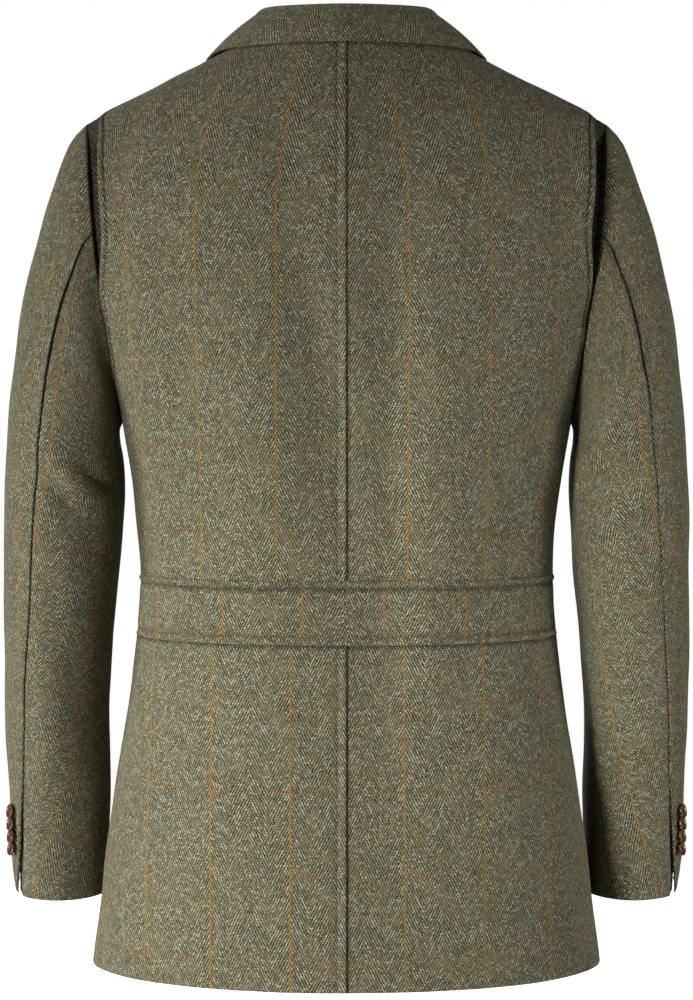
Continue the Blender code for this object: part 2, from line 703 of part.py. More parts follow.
def sleeve_point(angle, station):
    """A point of the left sleeve: 0 degrees on the outer side, 90 at the back, 180 next the body."""
    angle, station = np.broadcast_arrays(np.asarray(angle, float), np.asarray(station, float))
    column = {name: sleeve_value(name, station) for name in SleeveRow._fields}
    cosine, sine = np.cos(angle), np.sin(angle)
    share = (1 + cosine) / 2
    x = column["inner_x"] + (column["outer_x"] - column["inner_x"]) * share
    z = column["inner_z"] + (column["outer_z"] - column["inner_z"]) * share
    depth = np.where(sine >= 0, column["back"], column["front"])
    y = column["middle_y"] + depth * sine
    cuff = len(SLEEVE) - 1
    z = z - depth * sine * math.tan(CUFF_TILT) * smooth_between(CUFF_TILT_FROM, cuff, station)
    z = z + hem_rise(angle) * smooth_between(CUFF_RISE_FROM, cuff, station)
    return np.stack([x + armhole_fit(angle, station), y, z], axis=-1)


def hem_rise(angle):
    degrees = np.degrees(angle)
    return CUFF_RISE * smooth_between(*CUFF_RISE_OUTER, degrees) * smooth_between(*CUFF_RISE_FRONT, degrees)


@functools.cache
def armhole_widths():
    """Round the armhole, how far its edge on the torso lies out from the sleeve's first section."""
    first = SLEEVE[0]
    angles = np.linspace(-math.pi, math.pi, SAMPLES)
    heights = ARMHOLE_MID_Z + ARMHOLE_HALF_HEIGHT * np.cos(angles)
    depths = np.where(np.sin(angles) >= 0, first.back, first.front) * np.sin(angles)
    edge = [torso_point(angle_at_depth(y, z), z)[0] for y, z in zip(depths, heights)]
    plain = first.inner_x + (first.outer_x - first.inner_x) * (1 + np.cos(angles)) / 2
    return angles, np.array(edge) - plain


def armhole_fit(angle, station):
    """How far the sleeve's first sections move sideways, so that the head meets the armhole."""
    fade = 1 - smooth_between(0, ARMHOLE_FADE, station)
    return np.interp(angle, *armhole_widths(), period=2 * math.pi) * fade + ARMHOLE_STEP


def sleeve_normal(angle, station):
    return -normals_of(sleeve_point, angle, station)


def vent_half_width(z):
    gap = VENT_WIDTH * (1 - smooth_between(VENT_OPEN_Z, VENT_TOP_Z, z))
    flare = VENT_FLARE * (1 - smooth_between(VENT_BOTTOM_Z, VENT_FLARE_Z, z))
    return (SEAM + gap + flare) / 2


def hind_seam_angle(station):
    return np.radians(sleeve_value("seam_angle", station))


def sleeve_panel(name, side, starts, ends, jacket):
    """A piece of the sleeve between two seams, which are given as angles with their trims. Its first
    row has the armhole's own points."""
    stations = np.array(SLEEVE_STATIONS, float)
    columns = 1 + round(math.degrees(ends(0) - starts(0)) / ARMHOLE_TURN)
    shares = np.linspace(0, 1, columns)
    rows = []
    for station in stations:
        start, end = starts(station), ends(station)
        rows.append(start + (end - start) * shares)
    angles = np.array(rows)
    levels = np.repeat(stations[:, None], len(shares), axis=1)
    points = sleeve_point(angles, levels)
    normals = sleeve_normal(angles, levels)
    thickness = normals.copy()
    thickness[..., 0] *= np.where(normals[..., 0] > 0, smooth_between(0, 1, levels), 1)
    thickness *= CLOTH / np.linalg.norm(thickness, axis=-1, keepdims=True)
    points, normals, thickness = (mirrored(each, side) for each in (points, normals, thickness))
    fade = smooth_between(*FOLD_SLEEVE_START, levels)
    outer = points + normals * (fold_height(points, normals) * fade)[..., None]
    return cloth_wall(name, outer, outer - thickness, jacket)


def seam_trim(station, angle, half_width):
    """A half width of a gap along the sleeve's round, as an angle."""
    ahead = sleeve_point(angle + SMALL, station) - sleeve_point(angle, station)
    return half_width * SMALL / float(np.linalg.norm(ahead))


def sleeve(side, jacket):
    fore = math.radians(FORE_SEAM_ANGLE)

    def hind(station, way):
        angle = float(hind_seam_angle(station))
        half = float(vent_half_width(sleeve_point(angle, station)[2]))
        return angle + way * seam_trim(station, angle, half)

    def fore_side(station, way):
        return fore + way * seam_trim(station, fore, SEAM / 2)

    word = SIDE_NAMES[side]
    sleeve_panel(
        f"sleeve_top_{word}", side, lambda s: fore_side(s, 1), lambda s: hind(s, -1), jacket
    )
    sleeve_panel(
        f"sleeve_under_{word}",
        side,
        lambda s: hind(s, 1),
        lambda s: fore_side(s, -1) + 2 * math.pi,
        jacket,
    )


# Buttons

def button(name, radius, thick, place, facing, jacket):
    """A round button with a dished face, its back at the place given."""
    work = bmesh.new()
    bmesh.ops.create_cone(
        work, cap_ends=True, segments=BUTTON_SIDES, radius1=radius, radius2=radius, depth=thick
    )
    face = max(work.faces, key=lambda f: f.calc_center_median().z)
    rim = bmesh.ops.inset_region(work, faces=[face], thickness=radius * (1 - BUTTON_DISH))
    bmesh.ops.translate(work, verts=face.verts, vec=(0, 0, -thick * BUTTON_DISH_DEPTH))
    outer_rim = {v for f in rim["faces"] for v in f.verts} - set(face.verts)
    for vertex in outer_rim:
        vertex.co.z -= thick * BUTTON_RIM_DROP
    bmesh.ops.translate(work, verts=work.verts, vec=(0, 0, thick / 2))
    mesh = bpy.data.meshes.new(name)
    work.to_mesh(mesh)
    work.free()
    piece = placed(name, mesh, HORN, jacket)
    turn = Vector(facing).to_track_quat("Z", "Y").to_matrix().to_4x4()
    piece.matrix_world = Matrix.Translation(place) @ turn
    return piece


def station_at(z, angle):
    """The station of the lower sleeve at a height."""
    stations = np.linspace(CUFF_TILT_FROM, len(SLEEVE) - 1, SAMPLES)
    return float(np.interp(-z, -sleeve_point(angle, stations)[:, 2], stations))


def cuff_buttons(side, jacket):
    """Touching buttons down the vent, each tilted so that it lies on the next one's edge."""
    angle = math.radians(CUFF_BUTTON_ANGLE)
    for number in range(CUFF_BUTTONS):
        z = CUFF_BUTTON_TOP_Z - number * CUFF_BUTTON_PITCH
        station = station_at(z, angle)
        one = np.array(angle), np.array(station)
        point = mirrored(sleeve_point(*one), side)
        normal = mirrored(sleeve_normal(*one), side)
        down = sleeve_point(angle, station + SMALL) - sleeve_point(angle, station)
        down = mirrored(down / np.linalg.norm(down), side)
        tilt = CUFF_BUTTON_TILT
        facing = normal * math.cos(tilt) - down * math.sin(tilt)
        clear = CUFF_BUTTON_RADIUS * math.sin(tilt) + SEAM
        name = f"cuff_button_{SIDE_NAMES[side]}_{number + 1}"
        button(name, CUFF_BUTTON_RADIUS, CUFF_BUTTON_THICK, point + normal * clear, facing, jacket)


def front_buttons(jacket):
    for number in range(FRONT_BUTTONS):
        z = FRONT_BUTTON_TOP_Z - number * FRONT_BUTTON_PITCH
        one = np.array(-math.pi / 2), np.array(z)
        normal = torso_normal(*one)
        point = torso_point(*one) + normal * (OVERLAP_LIFT + SEAM)
        name = f"front_button_{number + 1}"
        button(name, FRONT_BUTTON_RADIUS, FRONT_BUTTON_THICK, point, normal, jacket)


def main():
    cleared_scene()
    jacket = bpy.data.collections.new("hunting_jacket")
    bpy.context.scene.collection.children.link(jacket)
    for side in (LEFT, RIGHT):
        back_upper(side, jacket)
        back_skirt(side, jacket)
        pleat_underlay(side, jacket)
        front(side, jacket)
        lapel(side, jacket)
        sleeve(side, jacket)
        cuff_buttons(side, jacket)
    half_belt(jacket)
    collar(jacket)
    front_buttons(jacket)


main()
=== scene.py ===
import math

import bmesh
import bpy
import numpy as np
from mathutils import Matrix, Vector


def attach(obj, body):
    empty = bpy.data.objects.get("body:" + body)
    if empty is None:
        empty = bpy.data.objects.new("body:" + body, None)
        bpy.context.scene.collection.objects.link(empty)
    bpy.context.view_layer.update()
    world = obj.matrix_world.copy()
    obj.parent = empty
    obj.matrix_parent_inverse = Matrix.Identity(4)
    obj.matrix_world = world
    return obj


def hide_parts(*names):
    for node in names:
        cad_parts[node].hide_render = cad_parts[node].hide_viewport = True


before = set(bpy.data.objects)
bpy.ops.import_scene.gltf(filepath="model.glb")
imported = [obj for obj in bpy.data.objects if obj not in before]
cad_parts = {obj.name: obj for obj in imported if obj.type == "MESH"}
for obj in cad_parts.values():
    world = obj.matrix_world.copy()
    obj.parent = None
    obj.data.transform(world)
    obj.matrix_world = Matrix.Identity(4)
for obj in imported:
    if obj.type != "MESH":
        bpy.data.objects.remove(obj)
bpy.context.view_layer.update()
print("frame loaded:", len(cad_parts), "solids")

scene = bpy.context.scene
left, right = 1, -1
sideNames = {left: "left", right: "right"}
tiny = 1e-4
fineSteps = 300

# camera, lights and floor

studio = {
    "eye": (0, 3.3, -0.2175),
    "pitch": 2.88,          # degrees down
    "seenHeight": 0.83,     # metres that fill the picture's height at the jacket's middle
    "sensor": 36,
    "floorZ": -1.15,
    "floorHalf": 9,
    "air": 0.01,            # light from all round
    "whiteBehind": 1.0,
    "floor": {"Base Color": (0.86, 0.86, 0.85, 1), "Roughness": 0.9, "Emission Strength": 1.0},
}
lamps = (  # name, place, aim, width, height, spread in degrees, power
    ("keySoftbox", (3.23, 0.80, -0.85), (0, 0.10, -0.76), 0.9, 1.0, 42, 5.3),
    ("accentSoftbox", (1.60, 2.88, -0.66), (-0.34, 0, -0.52), 0.9, 0.9, 18, 2.2),
    ("lowSoftbox", (2.35, 2.35, -0.85), (0.05, 0, -0.85), 0.8, 0.6, 28, 0.68),
    ("topSoftbox", (1.60, 1.40, 1.50), (0.1, 0, -0.40), 1.0, 1.0, 50, 1.7),
    ("fillSoftbox", (-3.25, 0.50, -0.50), (0, 0, -0.50), 1.0, 1.2, 50, 3.9),
    ("shoulderSoftbox", (-2.88, 1.66, -0.30), (-0.2, 0, -0.30), 1.0, 1.0, 40, 0.5),
    ("frontSoftbox", (0.60, -3.20, 0.20), (0, 0, -0.40), 2.0, 2.0, 120, 30),
)


def setInputs(node, values):
    for name, value in values.items():
        node.inputs[name].default_value = value


def addLamp(name, place, aim, width, height, spread, power):
    data = bpy.data.lights.new(name, "AREA")
    data.shape = "RECTANGLE"
    data.size, data.size_y = width, height
    data.spread = math.radians(spread)
    data.energy = power
    lamp = bpy.data.objects.new(name, data)
    lamp.location = place
    lamp.rotation_euler = (Vector(aim) - Vector(place)).to_track_quat("-Z", "Y").to_euler()
    scene.collection.objects.link(lamp)


def makeStudio():
    data = bpy.data.cameras.new("backView")
    data.sensor_fit = "VERTICAL"
    data.sensor_width = data.sensor_height = studio["sensor"]
    data.lens = studio["sensor"] * studio["eye"][1] / studio["seenHeight"]
    camera = bpy.data.objects.new("backView", data)
    camera.location = studio["eye"]
    camera.rotation_euler = (math.pi / 2 - math.radians(studio["pitch"]), 0, math.pi)
    scene.collection.objects.link(camera)
    scene.camera = camera
    scene.view_settings.view_transform = "Standard"
    for row in lamps:
        addLamp(*row)
    air = bpy.data.worlds.new("studioAir")
    air.use_nodes = True
    nodes, links = air.node_tree.nodes, air.node_tree.links
    path = nodes.new("ShaderNodeLightPath")
    strength = nodes.new("ShaderNodeMix")
    setInputs(strength, {"A": studio["air"], "B": studio["whiteBehind"]})
    links.new(path.outputs["Is Camera Ray"], strength.inputs["Factor"])
    links.new(strength.outputs["Result"], nodes["Background"].inputs["Strength"])
    nodes["Background"].inputs["Color"].default_value = (1, 1, 1, 1)
    scene.world = air
    half, z = studio["floorHalf"], studio["floorZ"]
    mesh = bpy.data.meshes.new("floor")
    mesh.from_pydata([(-half, -half, z), (half, -half, z), (half, half, z), (-half, half, z)], [], [(0, 1, 2, 3)])
    floor = bpy.data.objects.new("floor", mesh)
    scene.collection.objects.link(floor)
    pale = bpy.data.materials.new("paleFloor")
    pale.use_nodes = True
    shader = pale.node_tree.nodes["Principled BSDF"]
    setInputs(shader, studio["floor"])
    seen = pale.node_tree.nodes.new("ShaderNodeLightPath").outputs["Is Camera Ray"]
    pale.node_tree.links.new(seen, shader.inputs["Emission Color"])
    mesh.materials.append(pale)


makeStudio()
print("studio ready")

# number helpers


def smoothBetween(low, high, value):
    share = np.clip((value - low) / (high - low), 0, 1)
    return share * share * (3 - 2 * share)


def curve(xs, ys, at):  # a smooth curve through points that never overshoots them
    xs, ys = np.asarray(xs, float), np.asarray(ys, float)
    steps = np.diff(xs)
    slopes = np.diff(ys) / steps
    ends = np.concatenate([[slopes[0]], slopes, [slopes[-1]]])
    before, after = ends[:-1], ends[1:]
    sameWay = before * after > 0
    tangents = np.where(sameWay, 2 * before * after / np.where(sameWay, before + after, 1), 0)
    at = np.clip(np.asarray(at, float), xs[0], xs[-1])
    i = np.clip(np.searchsorted(xs, at, side="right") - 1, 0, len(steps) - 1)
    t = (at - xs[i]) / steps[i]
    rise = (1 + 2 * t) * (1 - t) ** 2 * ys[i] + t * t * (3 - 2 * t) * ys[i + 1]
    turn = t * (1 - t) ** 2 * tangents[i] + t * t * (t - 1) * tangents[i + 1]
    return rise + turn * steps[i]


def unit(vectors):
    return vectors / np.linalg.norm(vectors, axis=-1, keepdims=True)


def mirrored(points, side):
    return points * np.array([side, 1, 1])


def runLengths(points):  # distance gone along lines of points
    steps = np.linalg.norm(np.diff(points, axis=0), axis=-1)
    return np.concatenate([np.zeros_like(steps[:1]), np.cumsum(steps, axis=0)])


# the body's form, as in the solids

body = {
    "hem": -0.7685, "beltTop": -0.443, "beltBottom": -0.494, "waistSeam": -0.468,
    "armpit": -0.320, "shoulderTip": -0.0715, "neck": 0.0, "neckHalfWidth": 0.078,
    "frontSquare": 2.3, "backCrown": -0.190, "backRound": 2.0, "frontCrown": -0.250, "frontRound": 1.6,
    "armholeBack": 0.062, "armholeFront": 0.066,
}
torsoRows = np.array([  # height, half width, depth to the back, depth to the front, squareness of the back
    (-0.7685, 0.2115, 0.163, 0.156, 2.00),
    (-0.715, 0.2050, 0.157, 0.153, 2.00),
    (-0.632, 0.1942, 0.145, 0.147, 2.05),
    (-0.566, 0.1837, 0.135, 0.140, 2.10),
    (-0.500, 0.1748, 0.125, 0.134, 2.15),
    (-0.442, 0.1715, 0.121, 0.131, 2.20),
    (-0.384, 0.1755, 0.127, 0.135, 2.30),
    (-0.320, 0.1855, 0.137, 0.140, 2.45),
    (-0.267, 0.1980, 0.143, 0.141, 2.50),
    (-0.190, 0.2125, 0.147, 0.141, 2.50),
    (-0.120, 0.2190, 0.147, 0.141, 2.50),
    (-0.0755, 0.2215, 0.147, 0.141, 2.50),
])
shoulderRows = np.array([  # distance from the middle, height of the shoulder line
    (-0.045, 0.0165), (0, 0.0300), (0.045, 0.0165), (0.078, 0), (0.128, -0.0268),
    (0.182, -0.0540), (0.2135, -0.0715), (0.2225, -0.0800),
])
armholeMid = (body["shoulderTip"] + body["armpit"]) / 2
armholeHalf = (body["shoulderTip"] - body["armpit"]) / 2


def torsoColumn(number, z):
    return curve(torsoRows[:, 0], torsoRows[:, number], z)


def squareness(z, toBack):
    return np.where(toBack, torsoColumn(4, z), body["frontSquare"])


def shoulderHeight(x):
    return curve(shoulderRows[:, 0], shoulderRows[:, 1], np.abs(x))


shoulderWidths = np.linspace(0, shoulderRows[-1, 0], fineSteps)
shoulderHeights = shoulderHeight(shoulderWidths)


def torsoReach(z):
    onLine = np.interp(-np.asarray(z, float), -shoulderHeights, shoulderWidths)
    return np.where(z > shoulderRows[-1, 1], onLine, torsoColumn(1, z))


def torsoDepth(x, z, toBack):
    square = squareness(z, toBack)
    crown = body["backCrown"] if toBack else body["frontCrown"]
    rounding = body["backRound"] if toBack else body["frontRound"]
    across = np.clip(np.abs(x) / torsoColumn(1, z), 0, 1)
    plan = torsoColumn(2 if toBack else 3, z) * (1 - across ** square) ** (1 / square)
    climb = np.clip((z - crown) / (shoulderHeight(x) - crown), 0, 1)
    return plan * (1 - climb ** rounding) ** (1 / rounding)


def torsoPoint(angle, z):  # left half: 90 degrees at the centre back, 0 at the side, -90 at the centre front
    angle, z = np.broadcast_arrays(np.asarray(angle, float), np.asarray(z, float))
    cosine, sine = np.cos(angle), np.sin(angle)
    toBack = sine >= 0
    x = torsoReach(z) * np.sign(cosine) * np.abs(cosine) ** (2 / squareness(z, toBack))
    y = np.where(toBack, torsoDepth(x, z, True), -torsoDepth(x, z, False))
    return np.stack([x, y, z], axis=-1)


def normalsOf(surface, first, second):
    along = surface(first + tiny, second) - surface(first - tiny, second)
    up = surface(first, second + tiny) - surface(first, second - tiny)
    return unit(np.cross(along, up))


def angleAtDepth(y, z):
    fine = np.linspace(0, math.copysign(math.pi / 2, y), fineSteps)
    return float(np.interp(abs(y), np.abs(torsoPoint(fine, z)[:, 1]), fine))


def angleAtWidth(x, z, toBack):
    share = np.minimum(1.0, np.abs(x) / torsoReach(z))
    angle = np.arccos(np.copysign(share ** (squareness(z, toBack) / 2), x))
    return angle if toBack else -angle


def armholeAngle(z, toBack):
    if z <= body["armpit"] or z >= body["shoulderTip"]:
        return 0.0
    level = (z - armholeMid) / armholeHalf
    widest = body["armholeBack"] if toBack else -body["armholeFront"]
    return angleAtDepth(widest * math.sqrt(max(0.0, 1 - level * level)), z)


# soft folds, placed one by one

foldsBehind = (  # x and z of the middle, run along the line, spread across it, slant from upright, height
    (-0.004, -0.400, 0.160, 0.060, 0, -0.0060),
    (0.0185, -0.300, 0.160, 0.021, 8.5, -0.0066),
    (-0.035, -0.310, 0.260, 0.022, 0, -0.0062),
    (0.068, -0.300, 0.130, 0.026, 4, 0.0030),
    (0.132, -0.300, 0.130, 0.020, 5, -0.0040),
    (-0.078, -0.360, 0.140, 0.026, -3, 0.0030),
    (-0.150, -0.372, 0.080, 0.018, -9, -0.0026),
    (0.184, -0.180, 0.100, 0.012, 0, -0.0026),
    (-0.178, -0.160, 0.100, 0.015, 0, -0.0034),
    (0.095, -0.640, 0.110, 0.040, -5, 0.0034),
    (-0.030, -0.610, 0.130, 0.046, 0, -0.0056),
    (-0.130, -0.660, 0.110, 0.034, 4, 0.0028),
    (0.200, -0.300, 0.075, 0.018, 4, 0.0055),
    (0.221, -0.362, 0.030, 0.0085, 42, 0.0055),
    (0.203, -0.366, 0.022, 0.0070, 55, -0.0060),
    (0.2315, -0.379, 0.024, 0.0080, 44, -0.0052),
    (0.236, -0.470, 0.050, 0.012, 10, -0.0018),
    (0.244, -0.560, 0.060, 0.020, 14, 0.0020),
    (0.252, -0.600, 0.020, 0.012, 0, 0.0020),
    (-0.216, -0.222, 0.028, 0.0095, -28, 0.0050),
    (-0.2188, -0.252, 0.026, 0.0085, 52, -0.0052),
    (-0.2107, -0.334, 0.040, 0.0095, -38, 0.0058),
    (-0.205, -0.362, 0.026, 0.0080, -42, -0.0046),
    (-0.196, -0.306, 0.016, 0.0055, -60, -0.0024),
    (-0.2188, -0.397, 0.034, 0.0100, -45, 0.0054),
    (-0.246, -0.575, 0.060, 0.020, -12, 0.0020),
)
foldsBefore = (
    (0.110, -0.330, 0.110, 0.030, 10, -0.0026),
    (-0.108, -0.345, 0.100, 0.030, -12, -0.0026),
    (0.105, -0.630, 0.110, 0.040, -4, 0.0030),
    (-0.112, -0.650, 0.110, 0.038, 5, 0.0028),
    (0.238, -0.395, 0.045, 0.015, 40, -0.0040),
    (0.240, -0.440, 0.045, 0.015, -42, -0.0034),
    (-0.238, -0.388, 0.045, 0.015, -38, -0.0040),
    (-0.240, -0.436, 0.045, 0.015, 44, -0.0034),
)
foldFacing = (0.05, 0.6)    # how far the cloth must face a table's side to take its folds
waves = (  # faint unevenness of pressed wool: waves a metre in x, y and z, start, height
    (9, 6, 4, 0.3, 0.00030),
    (-13, 5, 7, 1.7, 0.00024),
    (5, -8, 12, 2.9, 0.00022),
    (17, 11, -9, 4.1, 0.00015),
    (-22, 13, 15, 5.3, 0.00010),
)


def foldHeight(points, normals):
    height = np.zeros(points.shape[:-1])
    for table, way in ((foldsBehind, 1), (foldsBefore, -1)):
        faces = smoothBetween(*foldFacing, way * normals[..., 1])
        for x, z, run, spread, slant, rise in table:
            turn = math.radians(slant)
            aside, up = points[..., 0] - x, points[..., 2] - z
            along = (up * math.cos(turn) + aside * math.sin(turn)) / run
            across = (aside * math.cos(turn) - up * math.sin(turn)) / spread
            height += faces * rise * np.exp(-along ** 2 - across ** 2)
    for kx, ky, kz, start, rise in waves:
        phase = 2 * math.pi * (kx * points[..., 0] + ky * points[..., 1] + kz * points[..., 2]) + start
        height += rise * np.sin(phase)
    return height


# cloth as a thin shell with rolled edges

cloth = {
    "thick": 0.002,
    "seam": -0.0003,        # the turned edges meet below the surface
    "step": 0.0036,
    "edgeStops": (0, 0.0003, 0.0008, 0.0015, 0.0028),
    "roll": 0.0017,
    "rollDepth": 0.0013,
    "grooveStops": (-0.0018, -0.0009, 0, 0.0009, 0.0018),
    "grooveWidth": 0.0011,
    "grooveDepth": 0.0006,
    "crowding": 1.4,        # how much room the close stops need
    "sharpFrom": 55,        # degrees
}


def heldStops(marks):  # close stops at an edge, and round each row of stitches beside it
    stops = set(cloth["edgeStops"])
    for mark in marks:
        stops |= {round(mark + stop, 6) for stop in cloth["grooveStops"]}
    return np.array(sorted(stops))


def spacedStops(width, first, last, count):
    squeeze = min(1.0, width / (cloth["crowding"] * (first[-1] + last[-1])))
    start, end = first * squeeze, width - last[::-1] * squeeze
    return np.concatenate([start, np.linspace(start[-1], end[0], count)[1:-1], end])


def rolled(distance):  # how far the cloth turns down towards an edge
    share = 1 - np.clip(distance / cloth["roll"], 0, 1)
    return cloth["rollDepth"] * (1 - np.sqrt(1 - share * share))


def near(distance, width):  # 1 on a line, fading beside it
    return np.exp(-(distance / width) ** 2)


paintedSeamShadows = {  # painted shadow: how dark and how wide the shade painted along each seam or stitch line is
    "lapEdge": (0.22, 0.0007), "lapStitch": (0.2, 0.0010), "tuck": (0.42, 0.0008), "pleatStitch": (0.45, 0.0013),
    "armhole": (0.9, 0.0042), "aboveBelt": (0.5, 0.0012), "belowBelt": (0.75, 0.0016),
    "beltUpper": (0.62, 0.0021), "beltLower": (0.30, 0.0013), "sideSeam": (1.0, 0.0010),
    "collarStitch": (0.25, 0.0013), "foreSeam": (0.6, 0.0010), "sleeveHead": (0.85, 0.0016),
}


# painted shadow along a seam or stitch line, strongest on the line
def shadowAlong(distance, name):
    strength, width = paintedSeamShadows[name]
    return strength * near(distance, width)


def groove(distance, mark):
    return cloth["grooveDepth"] * near(distance - mark, cloth["grooveWidth"])


def clothShell(node, outer, inner, weave, facing, paintedShadow, finish="tweed"):
    rows, columns = outer.shape[:2]
    count = rows * columns
    index = np.arange(count).reshape(rows, columns)
    quads = np.stack([index[:-1, :-1], index[:-1, 1:], index[1:, 1:], index[1:, :-1]], axis=-1).reshape(-1, 4)
    rim = np.concatenate([index[0, :-1], index[:-1, -1], index[-1, :0:-1], index[:0:-1, 0]])
    ahead = np.roll(rim, -1)
    edge = np.stack([ahead, rim, rim + count, ahead + count], axis=-1)
    faces = np.concatenate([quads, quads[:, ::-1] + count, edge])
    middle = rows // 2, columns // 2
    across = outer[middle[0], middle[1] + 1] - outer[middle]
    up = outer[middle[0] + 1, middle[1]] - outer[middle]
    if np.dot(np.cross(across, up), facing[middle]) < 0:
        faces = faces[:, ::-1]
    mesh = bpy.data.meshes.new(f"cloth_{node}")
    points = np.concatenate([outer.reshape(-1, 3), inner.reshape(-1, 3)])
    mesh.from_pydata(points.tolist(), [], faces.tolist())
    layer = mesh.uv_layers.new(name="weave")
    corners = np.empty(len(mesh.loops), np.int32)
    mesh.loops.foreach_get("vertex_index", corners)
    flat = np.concatenate([weave.reshape(-1, 2)] * 2)
    layer.data.foreach_set("uv", flat[corners].astype(np.float32).ravel())
    # painted shadow: a darkness per point of the outer face, for seams, grooves and edges that shade falls into; the
    # inner face gets none
    shaded = mesh.attributes.new("paintedShadow", "FLOAT", "POINT")
    shaded.data.foreach_set("value", np.concatenate([paintedShadow.ravel(), np.zeros(count)]).astype(np.float32))
    mesh.materials.append(finishes[finish])
    mesh.materials.append(finishes["tweedReverse"])
    sides = np.zeros(len(faces), np.int32)
    sides[len(quads):2 * len(quads)] = 1
    mesh.polygons.foreach_set("material_index", sides)
    mesh.shade_smooth()
    mesh.set_sharp_from_angle(angle=math.radians(cloth["sharpFrom"]))
    piece = bpy.data.objects.new(f"cloth_{node}", mesh)
    scene.collection.objects.link(piece)
    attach(piece, "root")
    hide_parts(node)


def levels(bottom, top, step, firstMarks=(), lastMarks=()):
    first, last = heldStops(firstMarks), heldStops(lastMarks)
    count = 2 + round((top - bottom) / step)
    return bottom + spacedStops(top - bottom, first, last, count)


def torsoPanel(heights, edges, raised, side, count, startMarks=(), endMarks=()):
    first, last = heldStops(startMarks), heldStops(endMarks)
    angles, along, widths = [], [], []
    for z in heights:
        start, end = edges(z)
        fine = np.linspace(start, end, fineSteps)
        lengths = runLengths(torsoPoint(fine, z))
        width = lengths[-1] - cloth["seam"]
        stops = spacedStops(width, first, last, count)
        angles.append(np.interp(cloth["seam"] / 2 + stops, lengths, fine))
        along.append(stops)
        widths.append(np.full(len(stops), width))
    angles, along, widths = np.array(angles), np.array(along), np.array(widths)
    up = np.repeat(np.asarray(heights)[:, None], angles.shape[1], axis=1)
    points = mirrored(torsoPoint(angles, up), side)
    normals = mirrored(normalsOf(torsoPoint, angles, up), side)
    lift = raised(up, along, widths) + foldHeight(points, normals)
    return {"points": points, "normals": normals, "lift": lift, "along": along, "widths": widths, "up": up}


def edgeRoll(panel, bottom, top):
    low = np.abs(panel["up"] - bottom)
    high = np.abs(top - panel["up"])
    beside = np.minimum(panel["along"], panel["widths"] - panel["along"])
    return np.maximum.reduce([rolled(low), rolled(high), rolled(beside)])


def shellOf(node, panel, weave, dropped, paintedShadow, finish="tweed"):
    base, normals, lift = panel["points"], panel["normals"], panel["lift"]
    panel["outer"] = base + normals * (lift - dropped)[..., None]
    inner = base + normals * (lift - cloth["thick"])[..., None]
    clothShell(node, panel["outer"], inner, weave, normals, paintedShadow, finish)


# shader groups


def wire(tree, value, socket):
    if isinstance(value, bpy.types.NodeSocket):
        tree.links.new(value, socket)
    else:
        socket.default_value = value


def calc(tree, operation, *values):
    node = tree.nodes.new("ShaderNodeMath")
    node.operation = operation
    for socket, value in zip(node.inputs, values):
        wire(tree, value, socket)
    return node.outputs[0]


def ramped(tree, value, low, high, fromSide=0.0, toSide=1.0):
    node = tree.nodes.new("ShaderNodeMapRange")
    node.interpolation_type = "SMOOTHSTEP"
    given = {"Value": value, "From Min": low, "From Max": high, "To Min": fromSide, "To Max": toSide}
    for name, each in given.items():
        wire(tree, each, node.inputs[name])
    return node.outputs["Result"]


def mixed(tree, share, one, other):
    node = tree.nodes.new("ShaderNodeMix")
    node.data_type = "RGBA"
    wire(tree, share, node.inputs["Factor"])
    wire(tree, one, node.inputs[6])
    wire(tree, other, node.inputs[7])
    return node.outputs[2]


def picked(tree, value, stops):  # one of several yarn colours
    node = tree.nodes.new("ShaderNodeValToRGB")
    node.color_ramp.interpolation = "CONSTANT"
    while len(node.color_ramp.elements) < len(stops):
        node.color_ramp.elements.new(1)
    for element, (place, colour) in zip(node.color_ramp.elements, stops):
        element.position = place
        element.color = (*colour, 1)
    wire(tree, value, node.inputs["Fac"])
    return node.outputs["Color"]


def joined(tree, *values):
    node = tree.nodes.new("ShaderNodeCombineXYZ")
    for socket, value in zip(node.inputs, values):
        wire(tree, value, socket)
    return node.outputs[0]


def chance(tree, vector):
    node = tree.nodes.new("ShaderNodeTexWhiteNoise")
    wire(tree, vector, node.inputs["Vector"])
    return node.outputs["Value"]


def clouds(tree, vector, scale, detail=2.0):
    node = tree.nodes.new("ShaderNodeTexNoise")
    setInputs(node, {"Scale": scale, "Detail": detail})
    wire(tree, vector, node.inputs["Vector"])
    return node.outputs["Fac"]


def fromMiddle(tree, value):  # 0 in the middle of each repeat, 1 at its ends
    offset = calc(tree, "SUBTRACT", calc(tree, "FRACT", value), 0.5)
    return calc(tree, "MULTIPLY", calc(tree, "ABSOLUTE", offset), 2)


def drift(tree, vector, scale, detail, reach):  # clouds about nought
    return calc(tree, "MULTIPLY", calc(tree, "SUBTRACT", clouds(tree, vector, scale, detail), 0.5), reach)


def newGroup(name, inputs, outputs):
    group = bpy.data.node_groups.new(name, "ShaderNodeTree")
    for label, kind, value in inputs:
        socket = group.interface.new_socket(name=label, in_out="INPUT", socket_type=kind)
        if value is not None:
            socket.default_value = value
    for label, kind in outputs:
        group.interface.new_socket(name=label, in_out="OUTPUT", socket_type=kind)
    return group, group.nodes.new("NodeGroupInput").outputs, group.nodes.new("NodeGroupOutput").inputs


